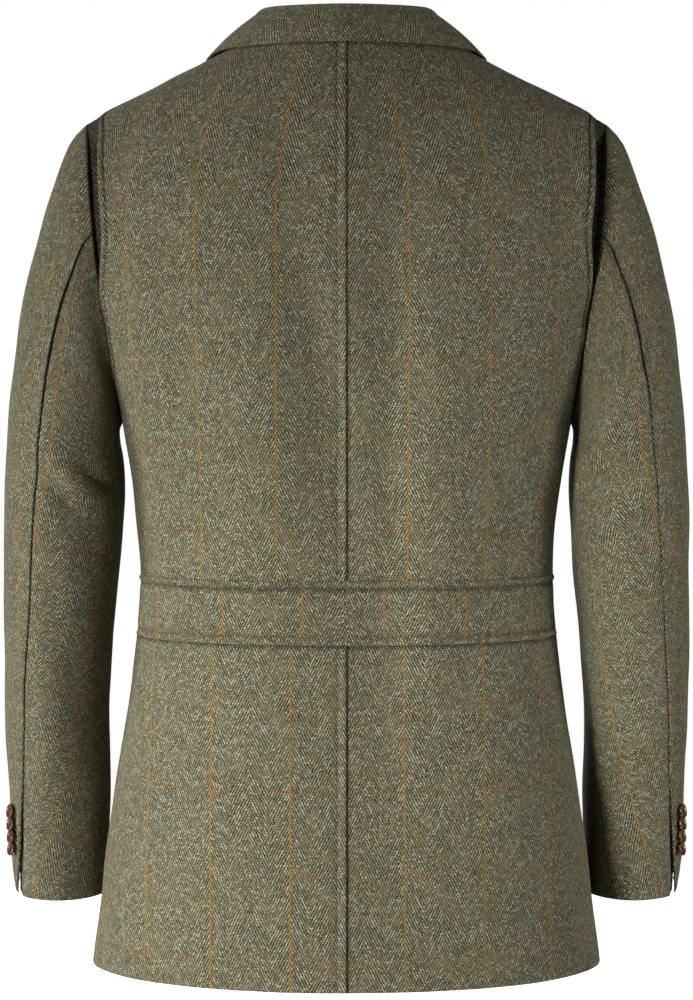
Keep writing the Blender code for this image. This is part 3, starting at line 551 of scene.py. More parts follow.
def herringboneGroup():  # steep twill ribs that turn back at each column
    tree, given, result = newGroup(
        "herringbone",
        (("Cloth", "NodeSocketVector", None), ("Column Width", "NodeSocketFloat", 0.0166),
         ("Rib Across", "NodeSocketFloat", 0.00234), ("Rib Up", "NodeSocketFloat", 0.0047),
         ("Yarn Length", "NodeSocketFloat", 0.0019)),
        (("Rib", "NodeSocketFloat"), ("Yarn", "NodeSocketFloat"), ("Ground", "NodeSocketFloat"),
         ("Fuzz", "NodeSocketFloat"), ("Height", "NodeSocketFloat")),
    )
    parts = tree.nodes.new("ShaderNodeSeparateXYZ")
    tree.links.new(given["Cloth"], parts.inputs[0])
    u, v = parts.outputs[0], parts.outputs[1]
    u = calc(tree, "ADD", u, drift(tree, given["Cloth"], 160, 2.0, 0.0011))
    column = calc(tree, "FLOOR", calc(tree, "DIVIDE", u, given["Column Width"]))
    folded = calc(tree, "PINGPONG", u, given["Column Width"])
    across = calc(tree, "DIVIDE", folded, given["Rib Across"])
    climb = calc(tree, "DIVIDE", v, given["Rib Up"])
    shift = calc(tree, "MULTIPLY", column, 0.5)
    wander = drift(tree, given["Cloth"], 620, 1.0, 0.9)
    phase = calc(tree, "ADD", calc(tree, "ADD", calc(tree, "ADD", across, climb), shift), wander)
    rib = calc(tree, "FLOOR", phase)
    crest = ramped(tree, fromMiddle(tree, phase), 0.30, 0.80, 1.0, 0.0)
    start = chance(tree, joined(tree, rib, column, 3.0))
    run = calc(tree, "ADD", calc(tree, "DIVIDE", v, given["Yarn Length"]), calc(tree, "MULTIPLY", start, 7.0))
    cell = calc(tree, "FLOOR", run)
    tuck = ramped(tree, fromMiddle(tree, run), 0.55, 1.0, 1.0, 0.30)
    raisedYarn = calc(tree, "MULTIPLY", crest, tuck)
    tree.links.new(raisedYarn, result["Rib"])
    tree.links.new(chance(tree, joined(tree, rib, cell, column)), result["Yarn"])
    groundRib = calc(tree, "FLOOR", calc(tree, "ADD", phase, 0.5))
    groundCell = calc(tree, "FLOOR", calc(tree, "MULTIPLY", run, 0.8))
    groundColumn = calc(tree, "ADD", column, 40.0)
    tree.links.new(chance(tree, joined(tree, groundRib, groundCell, groundColumn)), result["Ground"])
    fuzz = clouds(tree, given["Cloth"], 1300, 3.0)
    tree.links.new(fuzz, result["Fuzz"])
    height = calc(tree, "ADD", raisedYarn, calc(tree, "MULTIPLY", fuzz, 0.5))
    tree.links.new(height, result["Height"])
    return tree


def overcheckGroup():  # single coloured ends and picks of the window check
    tree, given, result = newGroup(
        "overcheck",
        (("Cloth", "NodeSocketVector", None), ("Gap Across", "NodeSocketFloat", 0.0665),
         ("Gap Up", "NodeSocketFloat", 0.068), ("Line Width", "NodeSocketFloat", 0.0014)),
        (("Upright", "NodeSocketFloat"), ("Level", "NodeSocketFloat")),
    )
    parts = tree.nodes.new("ShaderNodeSeparateXYZ")
    tree.links.new(given["Cloth"], parts.inputs[0])
    sway = drift(tree, given["Cloth"], 90, 1.0, 0.0016)
    for axis, gap, label, width in ((0, "Gap Across", "Upright", 1.0), (1, "Gap Up", "Level", 0.8)):
        place = calc(tree, "ADD", parts.outputs[axis], sway)
        share = calc(tree, "DIVIDE", place, given[gap])
        off = calc(tree, "ABSOLUTE", calc(tree, "SUBTRACT", share, calc(tree, "ROUND", share)))
        off = calc(tree, "MULTIPLY", off, given[gap])
        half = calc(tree, "MULTIPLY", given["Line Width"], 0.5 * width)
        inside, outside = calc(tree, "MULTIPLY", half, 0.7), calc(tree, "MULTIPLY", half, 1.3)
        tree.links.new(ramped(tree, off, inside, outside, 1.0, 0.0), result[label])
    return tree


def mottleGroup():  # cloudy streaks of horn
    tree, given, result = newGroup(
        "hornMottle",
        (("Place", "NodeSocketVector", None), ("Scale", "NodeSocketFloat", 170.0)),
        (("Streak", "NodeSocketFloat"), ("Speck", "NodeSocketFloat")),
    )
    bend = tree.nodes.new("ShaderNodeVectorMath")
    bend.operation = "MULTIPLY"
    tree.links.new(given["Place"], bend.inputs[0])
    bend.inputs[1].default_value = (1.0, 2.4, 1.0)
    streak = tree.nodes.new("ShaderNodeTexNoise")
    tree.links.new(bend.outputs[0], streak.inputs["Vector"])
    tree.links.new(given["Scale"], streak.inputs["Scale"])
    setInputs(streak, {"Detail": 3, "Distortion": 1.2})
    tree.links.new(ramped(tree, streak.outputs["Fac"], 0.35, 0.65), result["Streak"])
    tree.links.new(ramped(tree, clouds(tree, given["Place"], 900, 2.0), 0.55, 0.75), result["Speck"])
    return tree


# finishes

herringbone, overcheck, hornMottle = herringboneGroup(), overcheckGroup(), mottleGroup()
tweedLook = {
    "light": ((0.00, (0.370, 0.370, 0.220)), (0.32, (0.560, 0.540, 0.370)), (0.50, (0.255, 0.310, 0.245)),
              (0.64, (0.380, 0.310, 0.185)), (0.78, (0.250, 0.245, 0.125)), (0.90, (0.590, 0.565, 0.410)),
              (0.96, (0.330, 0.185, 0.090))),
    "dark": ((0.00, (0.034, 0.032, 0.016)), (0.45, (0.014, 0.014, 0.010)), (0.70, (0.066, 0.042, 0.020)),
             (0.86, (0.045, 0.056, 0.048)), (0.95, (0.090, 0.050, 0.024))),
    "shade": (0.030, 0.028, 0.015),
    "brownCast": (0.210, 0.165, 0.092),
    "upright": (0.470, 0.222, 0.034),
    "level": (0.340, 0.150, 0.055),
    # painted shadow along seams and grooves: its colour and strength
    "paintedShadowColour": (0.012, 0.011, 0.007),
    "paintedShadowStrength": 0.85,
    "fuzz": (0.40, 0.68, 0.0, 0.55),
    "castScale": 38,
    "cast": (0.42, 0.72, 0.0, 0.28),
    "dashes": (0.1, 0.8, 0.20, 0.90),
    "levelShare": 0.95,
    "roughness": (0.0, 1.0, 0.84, 0.96),
    "bumpHeight": 0.0004,
    "surface": {"Roughness": 0.9, "Specular IOR Level": 0.18, "Sheen Weight": 0.10, "Sheen Roughness": 0.45,
                "Sheen Tint": (0.75, 0.72, 0.60, 1)},
}
threadLook = {
    "colours": ((0.040, 0.036, 0.020, 1), (0.125, 0.112, 0.066, 1)), "twistScale": 2400,
    "surface": {"Roughness": 0.7, "Specular IOR Level": 0.25},
}
hornLook = {
    "colours": ((0.036, 0.012, 0.006, 1), (0.230, 0.088, 0.031, 1)),
    "speck": (0.36, 0.20, 0.10, 1), "speckShare": 0.35,
    "roughness": (0.0, 1.0, 0.25, 0.38),
    "surface": {"Roughness": 0.34, "Coat Weight": 0.25, "Coat Roughness": 0.14},
}
finishes = {}


def newFinish(name, surface):
    finish = bpy.data.materials.new(name)
    finish.use_nodes = True
    tree = finish.node_tree
    shader = tree.nodes["Principled BSDF"]
    setInputs(shader, surface)
    finishes[name] = finish
    return tree, shader


def placedGroup(tree, group, **values):
    node = tree.nodes.new("ShaderNodeGroup")
    node.node_tree = group
    for label, value in values.items():
        wire(tree, value, node.inputs[label])
    return node


def tweedFinish(name, lines, bump, recessShadow=1.0):
    tree, shader = newFinish(name, tweedLook["surface"])
    flat = tree.nodes.new("ShaderNodeUVMap")
    flat.uv_map = "weave"
    weave = placedGroup(tree, herringbone, Cloth=flat.outputs[0])
    check = placedGroup(tree, overcheck, Cloth=flat.outputs[0])
    light = picked(tree, weave.outputs["Yarn"], tweedLook["light"])
    dark = picked(tree, weave.outputs["Ground"], tweedLook["dark"])
    wool = mixed(tree, weave.outputs["Rib"], dark, light)
    fuzz = ramped(tree, weave.outputs["Fuzz"], *tweedLook["fuzz"])
    cast = ramped(tree, clouds(tree, flat.outputs[0], tweedLook["castScale"], 3.0), *tweedLook["cast"])
    dashes = ramped(tree, weave.outputs["Rib"], *tweedLook["dashes"])
    upright = calc(tree, "MULTIPLY", calc(tree, "MULTIPLY", check.outputs["Upright"], dashes), lines)
    level = calc(tree, "MULTIPLY", check.outputs["Level"], weave.outputs["Rib"])
    level = calc(tree, "MULTIPLY", level, tweedLook["levelShare"] * lines)
    # painted shadow: the point attribute darkens the cloth along seams, grooves and beside other pieces, where shade
    # falls
    paintedShadow = tree.nodes.new("ShaderNodeAttribute")
    paintedShadow.attribute_name = "paintedShadow"
    shade = calc(tree, "MULTIPLY", paintedShadow.outputs["Fac"], tweedLook["paintedShadowStrength"])
    layers = ((fuzz, "shade"), (cast, "brownCast"), (level, "level"), (upright, "upright"), (shade, "paintedShadowColour"))
    for share, colour in layers:
        wool = mixed(tree, share, wool, (*tweedLook[colour], 1))
    # painted shadow: the whole cloth darkened, for a copy that sits in a deep hollow
    wool = mixed(tree, 1 - recessShadow, wool, (0, 0, 0, 1))
    tree.links.new(wool, shader.inputs["Base Color"])
    tree.links.new(ramped(tree, weave.outputs["Yarn"], *tweedLook["roughness"]), shader.inputs["Roughness"])
    relief = tree.nodes.new("ShaderNodeBump")
    setInputs(relief, {"Strength": bump, "Distance": tweedLook["bumpHeight"]})
    tree.links.new(weave.outputs["Height"], relief.inputs["Height"])
    tree.links.new(relief.outputs["Normal"], shader.inputs["Normal"])


def threadFinish():
    tree, shader = newFinish("sewingThread", threadLook["surface"])
    place = tree.nodes.new("ShaderNodeTexCoord").outputs["Object"]
    twist = clouds(tree, place, threadLook["twistScale"], 1.0)
    tree.links.new(mixed(tree, twist, *threadLook["colours"]), shader.inputs["Base Color"])


def hornFinish():
    tree, shader = newFinish("hornButton", hornLook["surface"])
    place = tree.nodes.new("ShaderNodeTexCoord").outputs["Object"]
    mottle = placedGroup(tree, hornMottle, Place=place)
    colour = mixed(tree, mottle.outputs["Streak"], *hornLook["colours"])
    specks = calc(tree, "MULTIPLY", mottle.outputs["Speck"], hornLook["speckShare"])
    tree.links.new(mixed(tree, specks, colour, hornLook["speck"]), shader.inputs["Base Color"])
    tree.links.new(ramped(tree, mottle.outputs["Streak"], *hornLook["roughness"]), shader.inputs["Roughness"])


tweedFinish("tweed", lines=1.0, bump=0.55)
tweedFinish("tweedReverse", lines=0.7, bump=0.35)
# a darkened copy of the tweed: painted shadow for the cloth deep in the pleats
tweedFinish("tweedShadowed", lines=0.5, bump=0.2, recessShadow=0.40)
threadFinish()
hornFinish()
print("finishes ready:", len(finishes))

# stitches: short threads sunk in their grooves

stitchLook = {
    "pitch": 0.0031, "length": 0.0023, "half": 0.00032, "sides": 6, "rings": 5, "sink": 0.00008,
    "probe": 0.0005, "endThick": 0.35, "endDip": 1.1, "roundSpan": (0.08, 0.84),
}


def stitchRow(name, path, normals):
    lengths = runLengths(path)
    starts = np.arange(stitchLook["pitch"], lengths[-1] - stitchLook["pitch"], stitchLook["pitch"])

    def at(places, values):
        return np.stack([np.interp(places, lengths, values[:, k]) for k in range(3)], axis=-1)

    middles, up = at(starts, path), unit(at(starts, normals))
    ahead = unit(at(starts + stitchLook["probe"], path) - at(starts - stitchLook["probe"], path))
    beside = np.cross(up, ahead)
    rings, sides = stitchLook["rings"], stitchLook["sides"]
    turns = 2 * math.pi * np.arange(sides) / sides
    low, span = stitchLook["roundSpan"]
    endThick = stitchLook["endThick"]
    points = []
    for ring in range(rings):
        share = ring / (rings - 1)
        thick = stitchLook["half"] * (endThick + (1 - endThick) * math.sin(math.pi * (low + span * share)))
        dip = stitchLook["sink"] + stitchLook["half"] * stitchLook["endDip"] * (2 * share - 1) ** 2
        centre = middles + ahead * (stitchLook["length"] * (share - 0.5)) - up * dip
        for turn in turns:
            points.append(centre + up * (thick * math.sin(turn)) + beside * (thick * math.cos(turn)))
    points = np.stack(points, axis=1)
    faces = []
    for ring in range(rings - 1):
        for side in range(sides):
            a, b = ring * sides + side, ring * sides + (side + 1) % sides
            faces.append((a, b, b + sides, a + sides))
    caps = [tuple(range(sides))[::-1], tuple(range((rings - 1) * sides, rings * sides))]
    each = rings * sides
    allFaces = [tuple(each * k + c for c in face) for k in range(len(starts)) for face in faces + caps]
    mesh = bpy.data.meshes.new(name)
    mesh.from_pydata(points.reshape(-1, 3).tolist(), [], allFaces)
    mesh.shade_smooth()
    mesh.materials.append(finishes["sewingThread"])
    piece = bpy.data.objects.new(name, mesh)
    scene.collection.objects.link(piece)
    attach(piece, "root")


def columnPath(panel, distance, fromEnd=False, low=-9, high=9):
    away = panel["widths"] - panel["along"] if fromEnd else panel["along"]
    column = int(np.argmin(np.abs(away - distance).mean(axis=0)))
    keep = (panel["up"][:, column] > low) & (panel["up"][:, column] < high)
    return panel["outer"][keep, column], panel["normals"][keep, column]


# upper back, with its lapped centre seam and the pleat's folded edge

upperBack = {
    "columns": 62,
    "lapWidth": 0.0076, "lapFrom": 0.0012, "lapRaise": 0.0015, "lapFade": 0.006, "lapGroove": 0.8,
    "underlap": 0.007, "sunk": 0.0013, "sunkWidth": 0.0013, "underSunk": 0.0011, "underSunkSpan": (-0.0024, -0.0004),
    "pleatGap": 0.010, "pleatFull": -0.150, "pleatEnd": -0.218, "pleatFade": -0.335, "pleatTopX": 0.2035,
    "pleatRaise": 0.0040, "pleatRaiseWidth": 0.034, "pleatRaiseFade": 0.030, "pleatTopFade": (-0.034, 0.004),
    "pleatStitch": 0.0072, "pleatGroove": 2.2, "pleatPuff": 0.0009, "puffMiddle": 0.5, "puffWidth": 0.33,
    "pleatStop": (-0.060, -0.050), "pleatSewn": (-0.25, -0.062), "centreSewnTop": -0.012,
    # seamFrom and seamFade bound the painted shadow down the armhole seam; beltShade places the painted shadow above
    # the belt
    "seamFrom": (-0.01, 0.03), "seamFade": 0.012, "beltShade": 0.0005,
    "stripeStart": {left: 0.0565, right: 0.0505},
    "neckTake": 0.017, "neckTakeFrom": -0.150, "checkHeight": 0.0045,
    "held": "hung", "cut": (0.265, 0.500), "cutArea": 0.114,
}


def lapLift(z, fromCentre):
    fade = upperBack["lapFade"]
    underBelt = smoothBetween(body["beltBottom"] - fade, body["beltBottom"], z)
    underBelt = underBelt * (1 - smoothBetween(body["beltTop"], body["beltTop"] + fade, z))
    strip = 1 - np.clip((fromCentre - upperBack["lapFrom"]) / (upperBack["lapWidth"] - upperBack["lapFrom"]), 0, 1)
    return upperBack["lapRaise"] * strip * (1 - underBelt)


def tuckedLift(along):  # the right panel goes on beneath the lap
    beneath = 1 - smoothBetween(*upperBack["underSunkSpan"], along)
    return -upperBack["sunk"] * near(np.maximum(along, 0), upperBack["sunkWidth"]) - upperBack["underSunk"] * beneath


# painted shadow at the centre back seam: along the lap's edge and stitches on the left panel, beneath the lap on the
# right
def centreSeamShadow(panel, side):
    if side == left:
        return shadowAlong(panel["along"], "lapEdge") + shadowAlong(panel["along"] - upperBack["lapWidth"], "lapStitch")
    return shadowAlong(np.maximum(panel["along"], 0), "tuck")


def pleatGap(z):
    if z >= body["shoulderTip"]:
        return max(0.0, float(torsoReach(z)) - upperBack["pleatTopX"])
    return upperBack["pleatGap"] * float(smoothBetween(upperBack["pleatEnd"], upperBack["pleatFull"], z))


def pleatFoldAngle(z):
    edge = armholeAngle(z, True)
    if z <= upperBack["pleatEnd"]:
        return edge
    foldX = float(torsoPoint(edge, z)[0]) - pleatGap(z)
    return max(edge, float(angleAtWidth(foldX, z, True)))


def pleatLift(z, fromFold):
    low, high = upperBack["pleatTopFade"]
    along = smoothBetween(upperBack["pleatEnd"] - upperBack["pleatRaiseFade"], upperBack["pleatFull"], z)
    top = 1 - smoothBetween(body["shoulderTip"] + low, body["shoulderTip"] + high, z)
    return upperBack["pleatRaise"] * along * top * (1 - smoothBetween(0, upperBack["pleatRaiseWidth"], fromFold))


def backPanel(side, bottom, top, columns, endAngle, raised, endMarks=()):  # from the centre seam outwards
    lap = upperBack["lapWidth"]
    under = upperBack["underlap"] if side == right else 0.0

    def edges(z):
        return float(angleAtWidth(-under, z, True)), endAngle(z)

    def lifted(z, along, widths):
        strip = lapLift(z, along) if side == left else tuckedLift(along - under)
        return strip + raised(z, widths - along)

    heights = levels(bottom, top, cloth["step"])
    panel = torsoPanel(heights, edges, lifted, side, columns, (lap,) if side == left else (), endMarks)
    dropped = edgeRoll(panel, bottom, top)
    panel["along"], panel["widths"] = panel["along"] - under, panel["widths"] - under
    if side == left:
        dropped = dropped + upperBack["lapGroove"] * groove(panel["along"], lap)
    return panel, dropped


def makeUpperBack(side):
    bottom, top = body["waistSeam"] + cloth["seam"] / 2, body["neck"] - tiny
    stitch, pleatEnd = upperBack["pleatStitch"], upperBack["pleatEnd"]
    panel, dropped = backPanel(side, bottom, top, upperBack["columns"], pleatFoldAngle, pleatLift, (stitch,))
    up, fromFold = panel["up"], panel["widths"] - panel["along"]
    pleated = smoothBetween(upperBack["pleatFade"], pleatEnd, up) * (1 - smoothBetween(*upperBack["pleatStop"], up))
    puff = upperBack["pleatPuff"] * near(fromFold - upperBack["puffMiddle"] * stitch, upperBack["puffWidth"] * stitch)
    dropped = dropped + (upperBack["pleatGroove"] * groove(fromFold, stitch) - puff) * pleated
    take = upperBack["neckTake"] * smoothBetween(upperBack["neckTakeFrom"], 0, up)
    u = side * (panel["along"] + take - upperBack["stripeStart"][side])
    weave = np.stack([u, up - upperBack["checkHeight"]], axis=-1)
    low, high = upperBack["seamFrom"]
    closed = 1 - smoothBetween(pleatEnd + low, pleatEnd + high, up)
    closed = closed * smoothBetween(body["armpit"] - upperBack["seamFade"], body["armpit"], up)
    # painted shadow along the pleat's stitches, just above the belt and down the armhole seam below the pleat
    shadowLines = centreSeamShadow(panel, side) + shadowAlong(fromFold - stitch, "pleatStitch") * pleated
    shadowLines = shadowLines + shadowAlong(up - body["beltTop"] - upperBack["beltShade"], "aboveBelt")
    shadowLines = shadowLines + shadowAlong(fromFold, "armhole") * closed
    word = sideNames[side]
    shellOf(f"back_upper_{word}", panel, weave, dropped, np.clip(shadowLines, 0, 1))
    stitchRow(f"stitch_pleat_{word}", *columnPath(panel, stitch, True, *upperBack["pleatSewn"]))
    if side == left:
        span = body["beltTop"], upperBack["centreSewnTop"]
        stitchRow("stitch_centre_upper", *columnPath(panel, upperBack["lapWidth"], False, *span))


# the cloth at the bottom of each pleat, in a darkened tweed as painted shadow for the hollow

pleatFloor = {
    "columns": 14, "rowStep": 0.004, "underlap": 0.014, "drop": 0.0032, "hollow": 0.0065, "hollowEdge": 0.0035,
    "bottom": -0.2115, "top": 0.014, "tuck": 0.006, "riseFrom": 0.02, "hollowTop": (-0.030, 0.002),
    "stripeStart": 0.018,
    "held": "folded", "cut": (0.045, 0.156), "cutArea": 0.0064,
}


def tuckedAngle(z):  # the floor goes on beneath the sleeve
    edge = armholeAngle(z, True)
    if edge == 0:
        return edge
    return angleAtDepth(max(float(torsoPoint(edge, z)[1]) - pleatFloor["tuck"], tiny), z)


def tuckWidth(z):
    return float(np.linalg.norm(torsoPoint(tuckedAngle(z), z) - torsoPoint(armholeAngle(z, True), z)))


def makePleatFloor(side):
    bottom, top = pleatFloor["bottom"], body["shoulderTip"] + pleatFloor["top"]

    def edges(z):
        fold = torsoPoint(pleatFoldAngle(z), z)
        return float(angleAtWidth(float(fold[0]) - pleatFloor["underlap"], z, True)), tuckedAngle(z)

    def raised(z, along, widths):
        gap, tuck = (np.array([width(level) for level in z[:, 0]])[:, None] for width in (pleatGap, tuckWidth))
        fromSeam = widths - along - tuck
        rises = smoothBetween(body["shoulderTip"] - pleatFloor["riseFrom"], body["shoulderTip"], z)
        level = -pleatFloor["drop"] * (1 - rises * (1 - smoothBetween(0, gap + tiny, fromSeam)))
        low, high = pleatFloor["hollowTop"]
        deep = 1 - smoothBetween(body["shoulderTip"] + low, body["shoulderTip"] + high, z)
        return level - pleatFloor["hollow"] * deep * smoothBetween(0, pleatFloor["hollowEdge"], fromSeam)

    panel = torsoPanel(levels(bottom, top, pleatFloor["rowStep"]), edges, raised, side, pleatFloor["columns"])
    u = side * panel["along"] + pleatFloor["stripeStart"]
    weave = np.stack([u, panel["up"] - upperBack["checkHeight"]], axis=-1)
    word = sideNames[side]
    plain = np.zeros(panel["up"].shape)
    dropped = edgeRoll(panel, bottom, top)
    # the darkened tweed is painted shadow for the hollow
    shellOf(f"pleat_underlay_{word}", panel, weave, dropped, plain, "tweedShadowed")


# back skirt below the belt

skirt = {
    "columns": 64, "stripeStart": {left: 0.0455, right: 0.048}, "checkHeight": 0.0015,
    "beltShade": 0.0008, "sewnFrom": 0.004,
    "held": "hung", "cut": (0.296, 0.302), "cutArea": 0.080,
}


def makeSkirt(side):
    bottom, top = body["hem"], body["waistSeam"] - cloth["seam"] / 2

    def sideSeam(z):
        return 0.0

    def raised(z, fromSide):
        return 0.0

    panel, dropped = backPanel(side, bottom, top, skirt["columns"], sideSeam, raised)
    u = side * (panel["along"] - skirt["stripeStart"][side])
    weave = np.stack([u, panel["up"] - skirt["checkHeight"]], axis=-1)
    # painted shadow along the centre seam and just below the belt
    shadowLines = centreSeamShadow(panel, side) + shadowAlong(panel["up"] - body["beltBottom"] + skirt["beltShade"], "belowBelt")
    word = sideNames[side]
    shellOf(f"back_skirt_{word}", panel, weave, dropped, np.clip(shadowLines, 0, 1))
    if side == left:
        span = body["hem"] + skirt["sewnFrom"], body["beltBottom"]
        stitchRow("stitch_centre_skirt", *columnPath(panel, upperBack["lapWidth"], False, *span))


# half belt, sewn on along both edges

belt = {
    "columns": 52, "rowStep": 0.003, "gap": 0.0005, "stitch": 0.0066, "short": 0.90,
    "puff": 0.0010, "puffMiddle": 0.45, "puffWidth": 0.3, "sunk": 0.0015, "sunkWidth": 0.0017,
    "stripeStart": 0.0355, "checkHeight": 0.0098,
    "held": "laid", "cut": (0.428, 0.052), "cutArea": 0.0221,
}


def makeBelt():
    bottom, top, stitch = body["beltBottom"], body["beltTop"], belt["stitch"]
    heights = levels(bottom, top, belt["rowStep"], (stitch,), (stitch,))

    def edges(z):
        return math.pi / 2, 0.0

    def raised(z, along, widths):
        return np.full(along.shape, belt["gap"] + cloth["thick"])

    halves = []
    for side in (left, right):
        panel = torsoPanel(heights, edges, raised, side, belt["columns"])
        keep = int(np.searchsorted(panel["along"][0] / panel["widths"][0], belt["short"]))
        halves.append({name: grid[:, :keep] for name, grid in panel.items()})
    one, other = halves
    panel = {name: np.concatenate([other[name][:, :0:-1], one[name]], axis=1) for name in one}
    place = np.concatenate([-other["along"][:, :0:-1], one["along"]], axis=1)
    low, high = panel["up"] - bottom, top - panel["up"]
    ends = np.minimum(place - place[:, :1], place[:, -1:] - place)
    dropped = np.maximum.reduce([rolled(low), rolled(high), rolled(ends)])
    for edge in (low, high):
        dropped = dropped + belt["sunk"] * near(edge - stitch, belt["sunkWidth"])
        dropped = dropped - belt["puff"] * near(edge - belt["puffMiddle"] * stitch, belt["puffWidth"] * stitch)
    # painted shade in the belt's stitch grooves, darker along the upper edge
    shadowLines = shadowAlong(high - stitch, "beltUpper") + shadowAlong(low - stitch, "beltLower")
    weave = np.stack([place - belt["stripeStart"], panel["up"] + belt["checkHeight"]], axis=-1)
    shellOf("half_belt", panel, weave, dropped, shadowLines)
    for edge, word in ((low, "lower"), (high, "upper")):
        row = int(np.argmin(np.abs(edge[:, 0] - stitch)))
        stitchRow(f"stitch_belt_{word}", panel["outer"][row], panel["normals"][row])


# fronts and lapels, plainly finished

fronts = {
    "columns": 54, "step": 0.0050, "overlap": 0.018, "breakZ": -0.362, "lift": 0.0030,
    "liftTop": -0.284, "liftFade": 0.080, "liftSpan": (0.008, 0.045), "stripeStart": 0.030, "checkHeight": 0.0015,
    "held": "hung", "cut": (0.318, 0.790), "cutArea": 0.184,
}
lapels = {
    "columns": 22, "rows": 70, "top": -0.0476, "notch": (0.094, -0.0615), "tip": (0.124, -0.086),
    "notchShare": 0.6, "belly": 0.010, "gap": 0.0013, "roll": 0.003, "rollWidth": 0.012,
    "start": {left: 0.03, right: 0.235}, "edgeStops": (0, 0.004, 0.012, 0.025), "inside": (0.05, 0.95),
    "fullLength": 0.30,
    "held": "folded", "cut": (0.090, 0.300), "cutArea": 0.0142,
}


def frontEdgeX(z):
    share = np.clip((z - fronts["breakZ"]) / (body["neck"] - fronts["breakZ"]), 0, 1)
    return -fronts["overlap"] + share * (body["neckHalfWidth"] + fronts["overlap"])


def overlapLift(x, z, side):
    if side == right:
        return np.zeros_like(x)
    low, high = fronts["liftSpan"]
    lapped = 1 - smoothBetween(fronts["overlap"] + low, fronts["overlap"] + high, x)
    return fronts["lift"] * lapped * (1 - smoothBetween(fronts["liftTop"], fronts["liftTop"] + fronts["liftFade"], z))


def makeFront(side):
    bottom, top = body["hem"], body["neck"] - tiny
    heights = levels(bottom, top, fronts["step"])

    def edges(z):
        return float(angleAtWidth(frontEdgeX(z), z, False)), armholeAngle(z, False)

    def raised(z, along, widths):
        return overlapLift(frontEdgeX(z) + along, z, side)

    panel = torsoPanel(heights, edges, raised, side, fronts["columns"])
    u = side * (frontEdgeX(panel["up"]) + panel["along"] - fronts["stripeStart"])
    weave = np.stack([u, panel["up"] - fronts["checkHeight"]], axis=-1)
    word = sideNames[side]
    # painted shadow along the side seam
    shadowLines = shadowAlong(panel["widths"] - panel["along"], "sideSeam")
    dropped = edgeRoll(panel, bottom, top)
    shellOf(f"front_{word}", panel, weave, dropped, shadowLines)


def makeLapel(side):
    along = np.linspace(lapels["start"][side], 1, lapels["rows"])[:, None]
    edge = np.array(lapels["edgeStops"])
    across = np.concatenate([edge, np.linspace(*lapels["inside"], lapels["columns"]), 1 - edge[::-1]])[None, :]
    stops = (0, lapels["notchShare"], 1)
    topX = np.interp(across, stops, (float(frontEdgeX(lapels["top"])), lapels["notch"][0], lapels["tip"][0]))
    topZ = np.interp(across, stops, (lapels["top"], lapels["notch"][1], lapels["tip"][1]))
    belly = lapels["belly"] * np.sin(math.pi * along) * across
    x = -fronts["overlap"] + (topX + fronts["overlap"]) * along + belly
    z = fronts["breakZ"] + (topZ - fronts["breakZ"]) * along
    width = np.linalg.norm(np.stack([x - x[:, :1], z - z[:, :1]]), axis=0)
    roll = lapels["roll"] * np.sin(math.pi * np.clip(width / lapels["rollWidth"], 0, 1))
    angles = angleAtWidth(x, z, False)
    points = mirrored(torsoPoint(angles, z), side)
    normals = mirrored(normalsOf(torsoPoint, angles, z), side)
    lift = overlapLift(x, z, side) + foldHeight(points, normals) + lapels["gap"] + roll
    edges = np.minimum(np.minimum(width, width[:, -1:] - width), (1 - along) * lapels["fullLength"])
    outer = points + normals * (lift + cloth["thick"] - rolled(edges))[..., None]
    inner = points + normals * lift[..., None]
    weave = np.stack([side * (x - fronts["stripeStart"]), z - fronts["checkHeight"]], axis=-1)
    word = sideNames[side]
    clothShell(f"lapel_{word}", outer, inner, weave, normals, np.zeros(x.shape))


# collar: stand, roll and fall in one folded piece

collarRows = np.array([  # base height, stand, lean, angle of the fall's edge, its height, its distance from the back
    (0, 0.0207, 0.0085, 90, -0.0110, 0.0036),
    (0, 0.0207, 0.0085, 61, -0.0122, 0.0034),
    (0, 0.0205, 0.0075, 33, -0.0136, 0.0032),
    (0, 0.0170, 0.0065, 2, -0.0168, 0.0032),
    (-0.014, 0.0200, 0.0045, -38, -0.033, 0.0034),
    (-0.030, 0.0130, 0.0030, -51, -0.051, 0.0036),
    (-0.046, 0.0070, 0.0020, -60, -0.068, 0.0038),
])
collar = {
    "sideRow": 3, "stations": 75, "baseStep": 0.0006, "gap": 0.0005, "rollRadius": 0.0026,
    "bulgeOut": 0.00165, "bulgeUp": 0.00145, "turns": 14, "turnSpan": (180, 10), "standPoints": 6, "fallPoints": 16,
    "fallStart": 0.002, "stitch": 0.0058, "stitchDepth": 1.2, "measuredRow": -14,
    "stripeStart": 0.0365, "checkHeight": 0.020,
    "held": "folded", "cut": (0.448, 0.081), "cutArea": 0.0280,
}


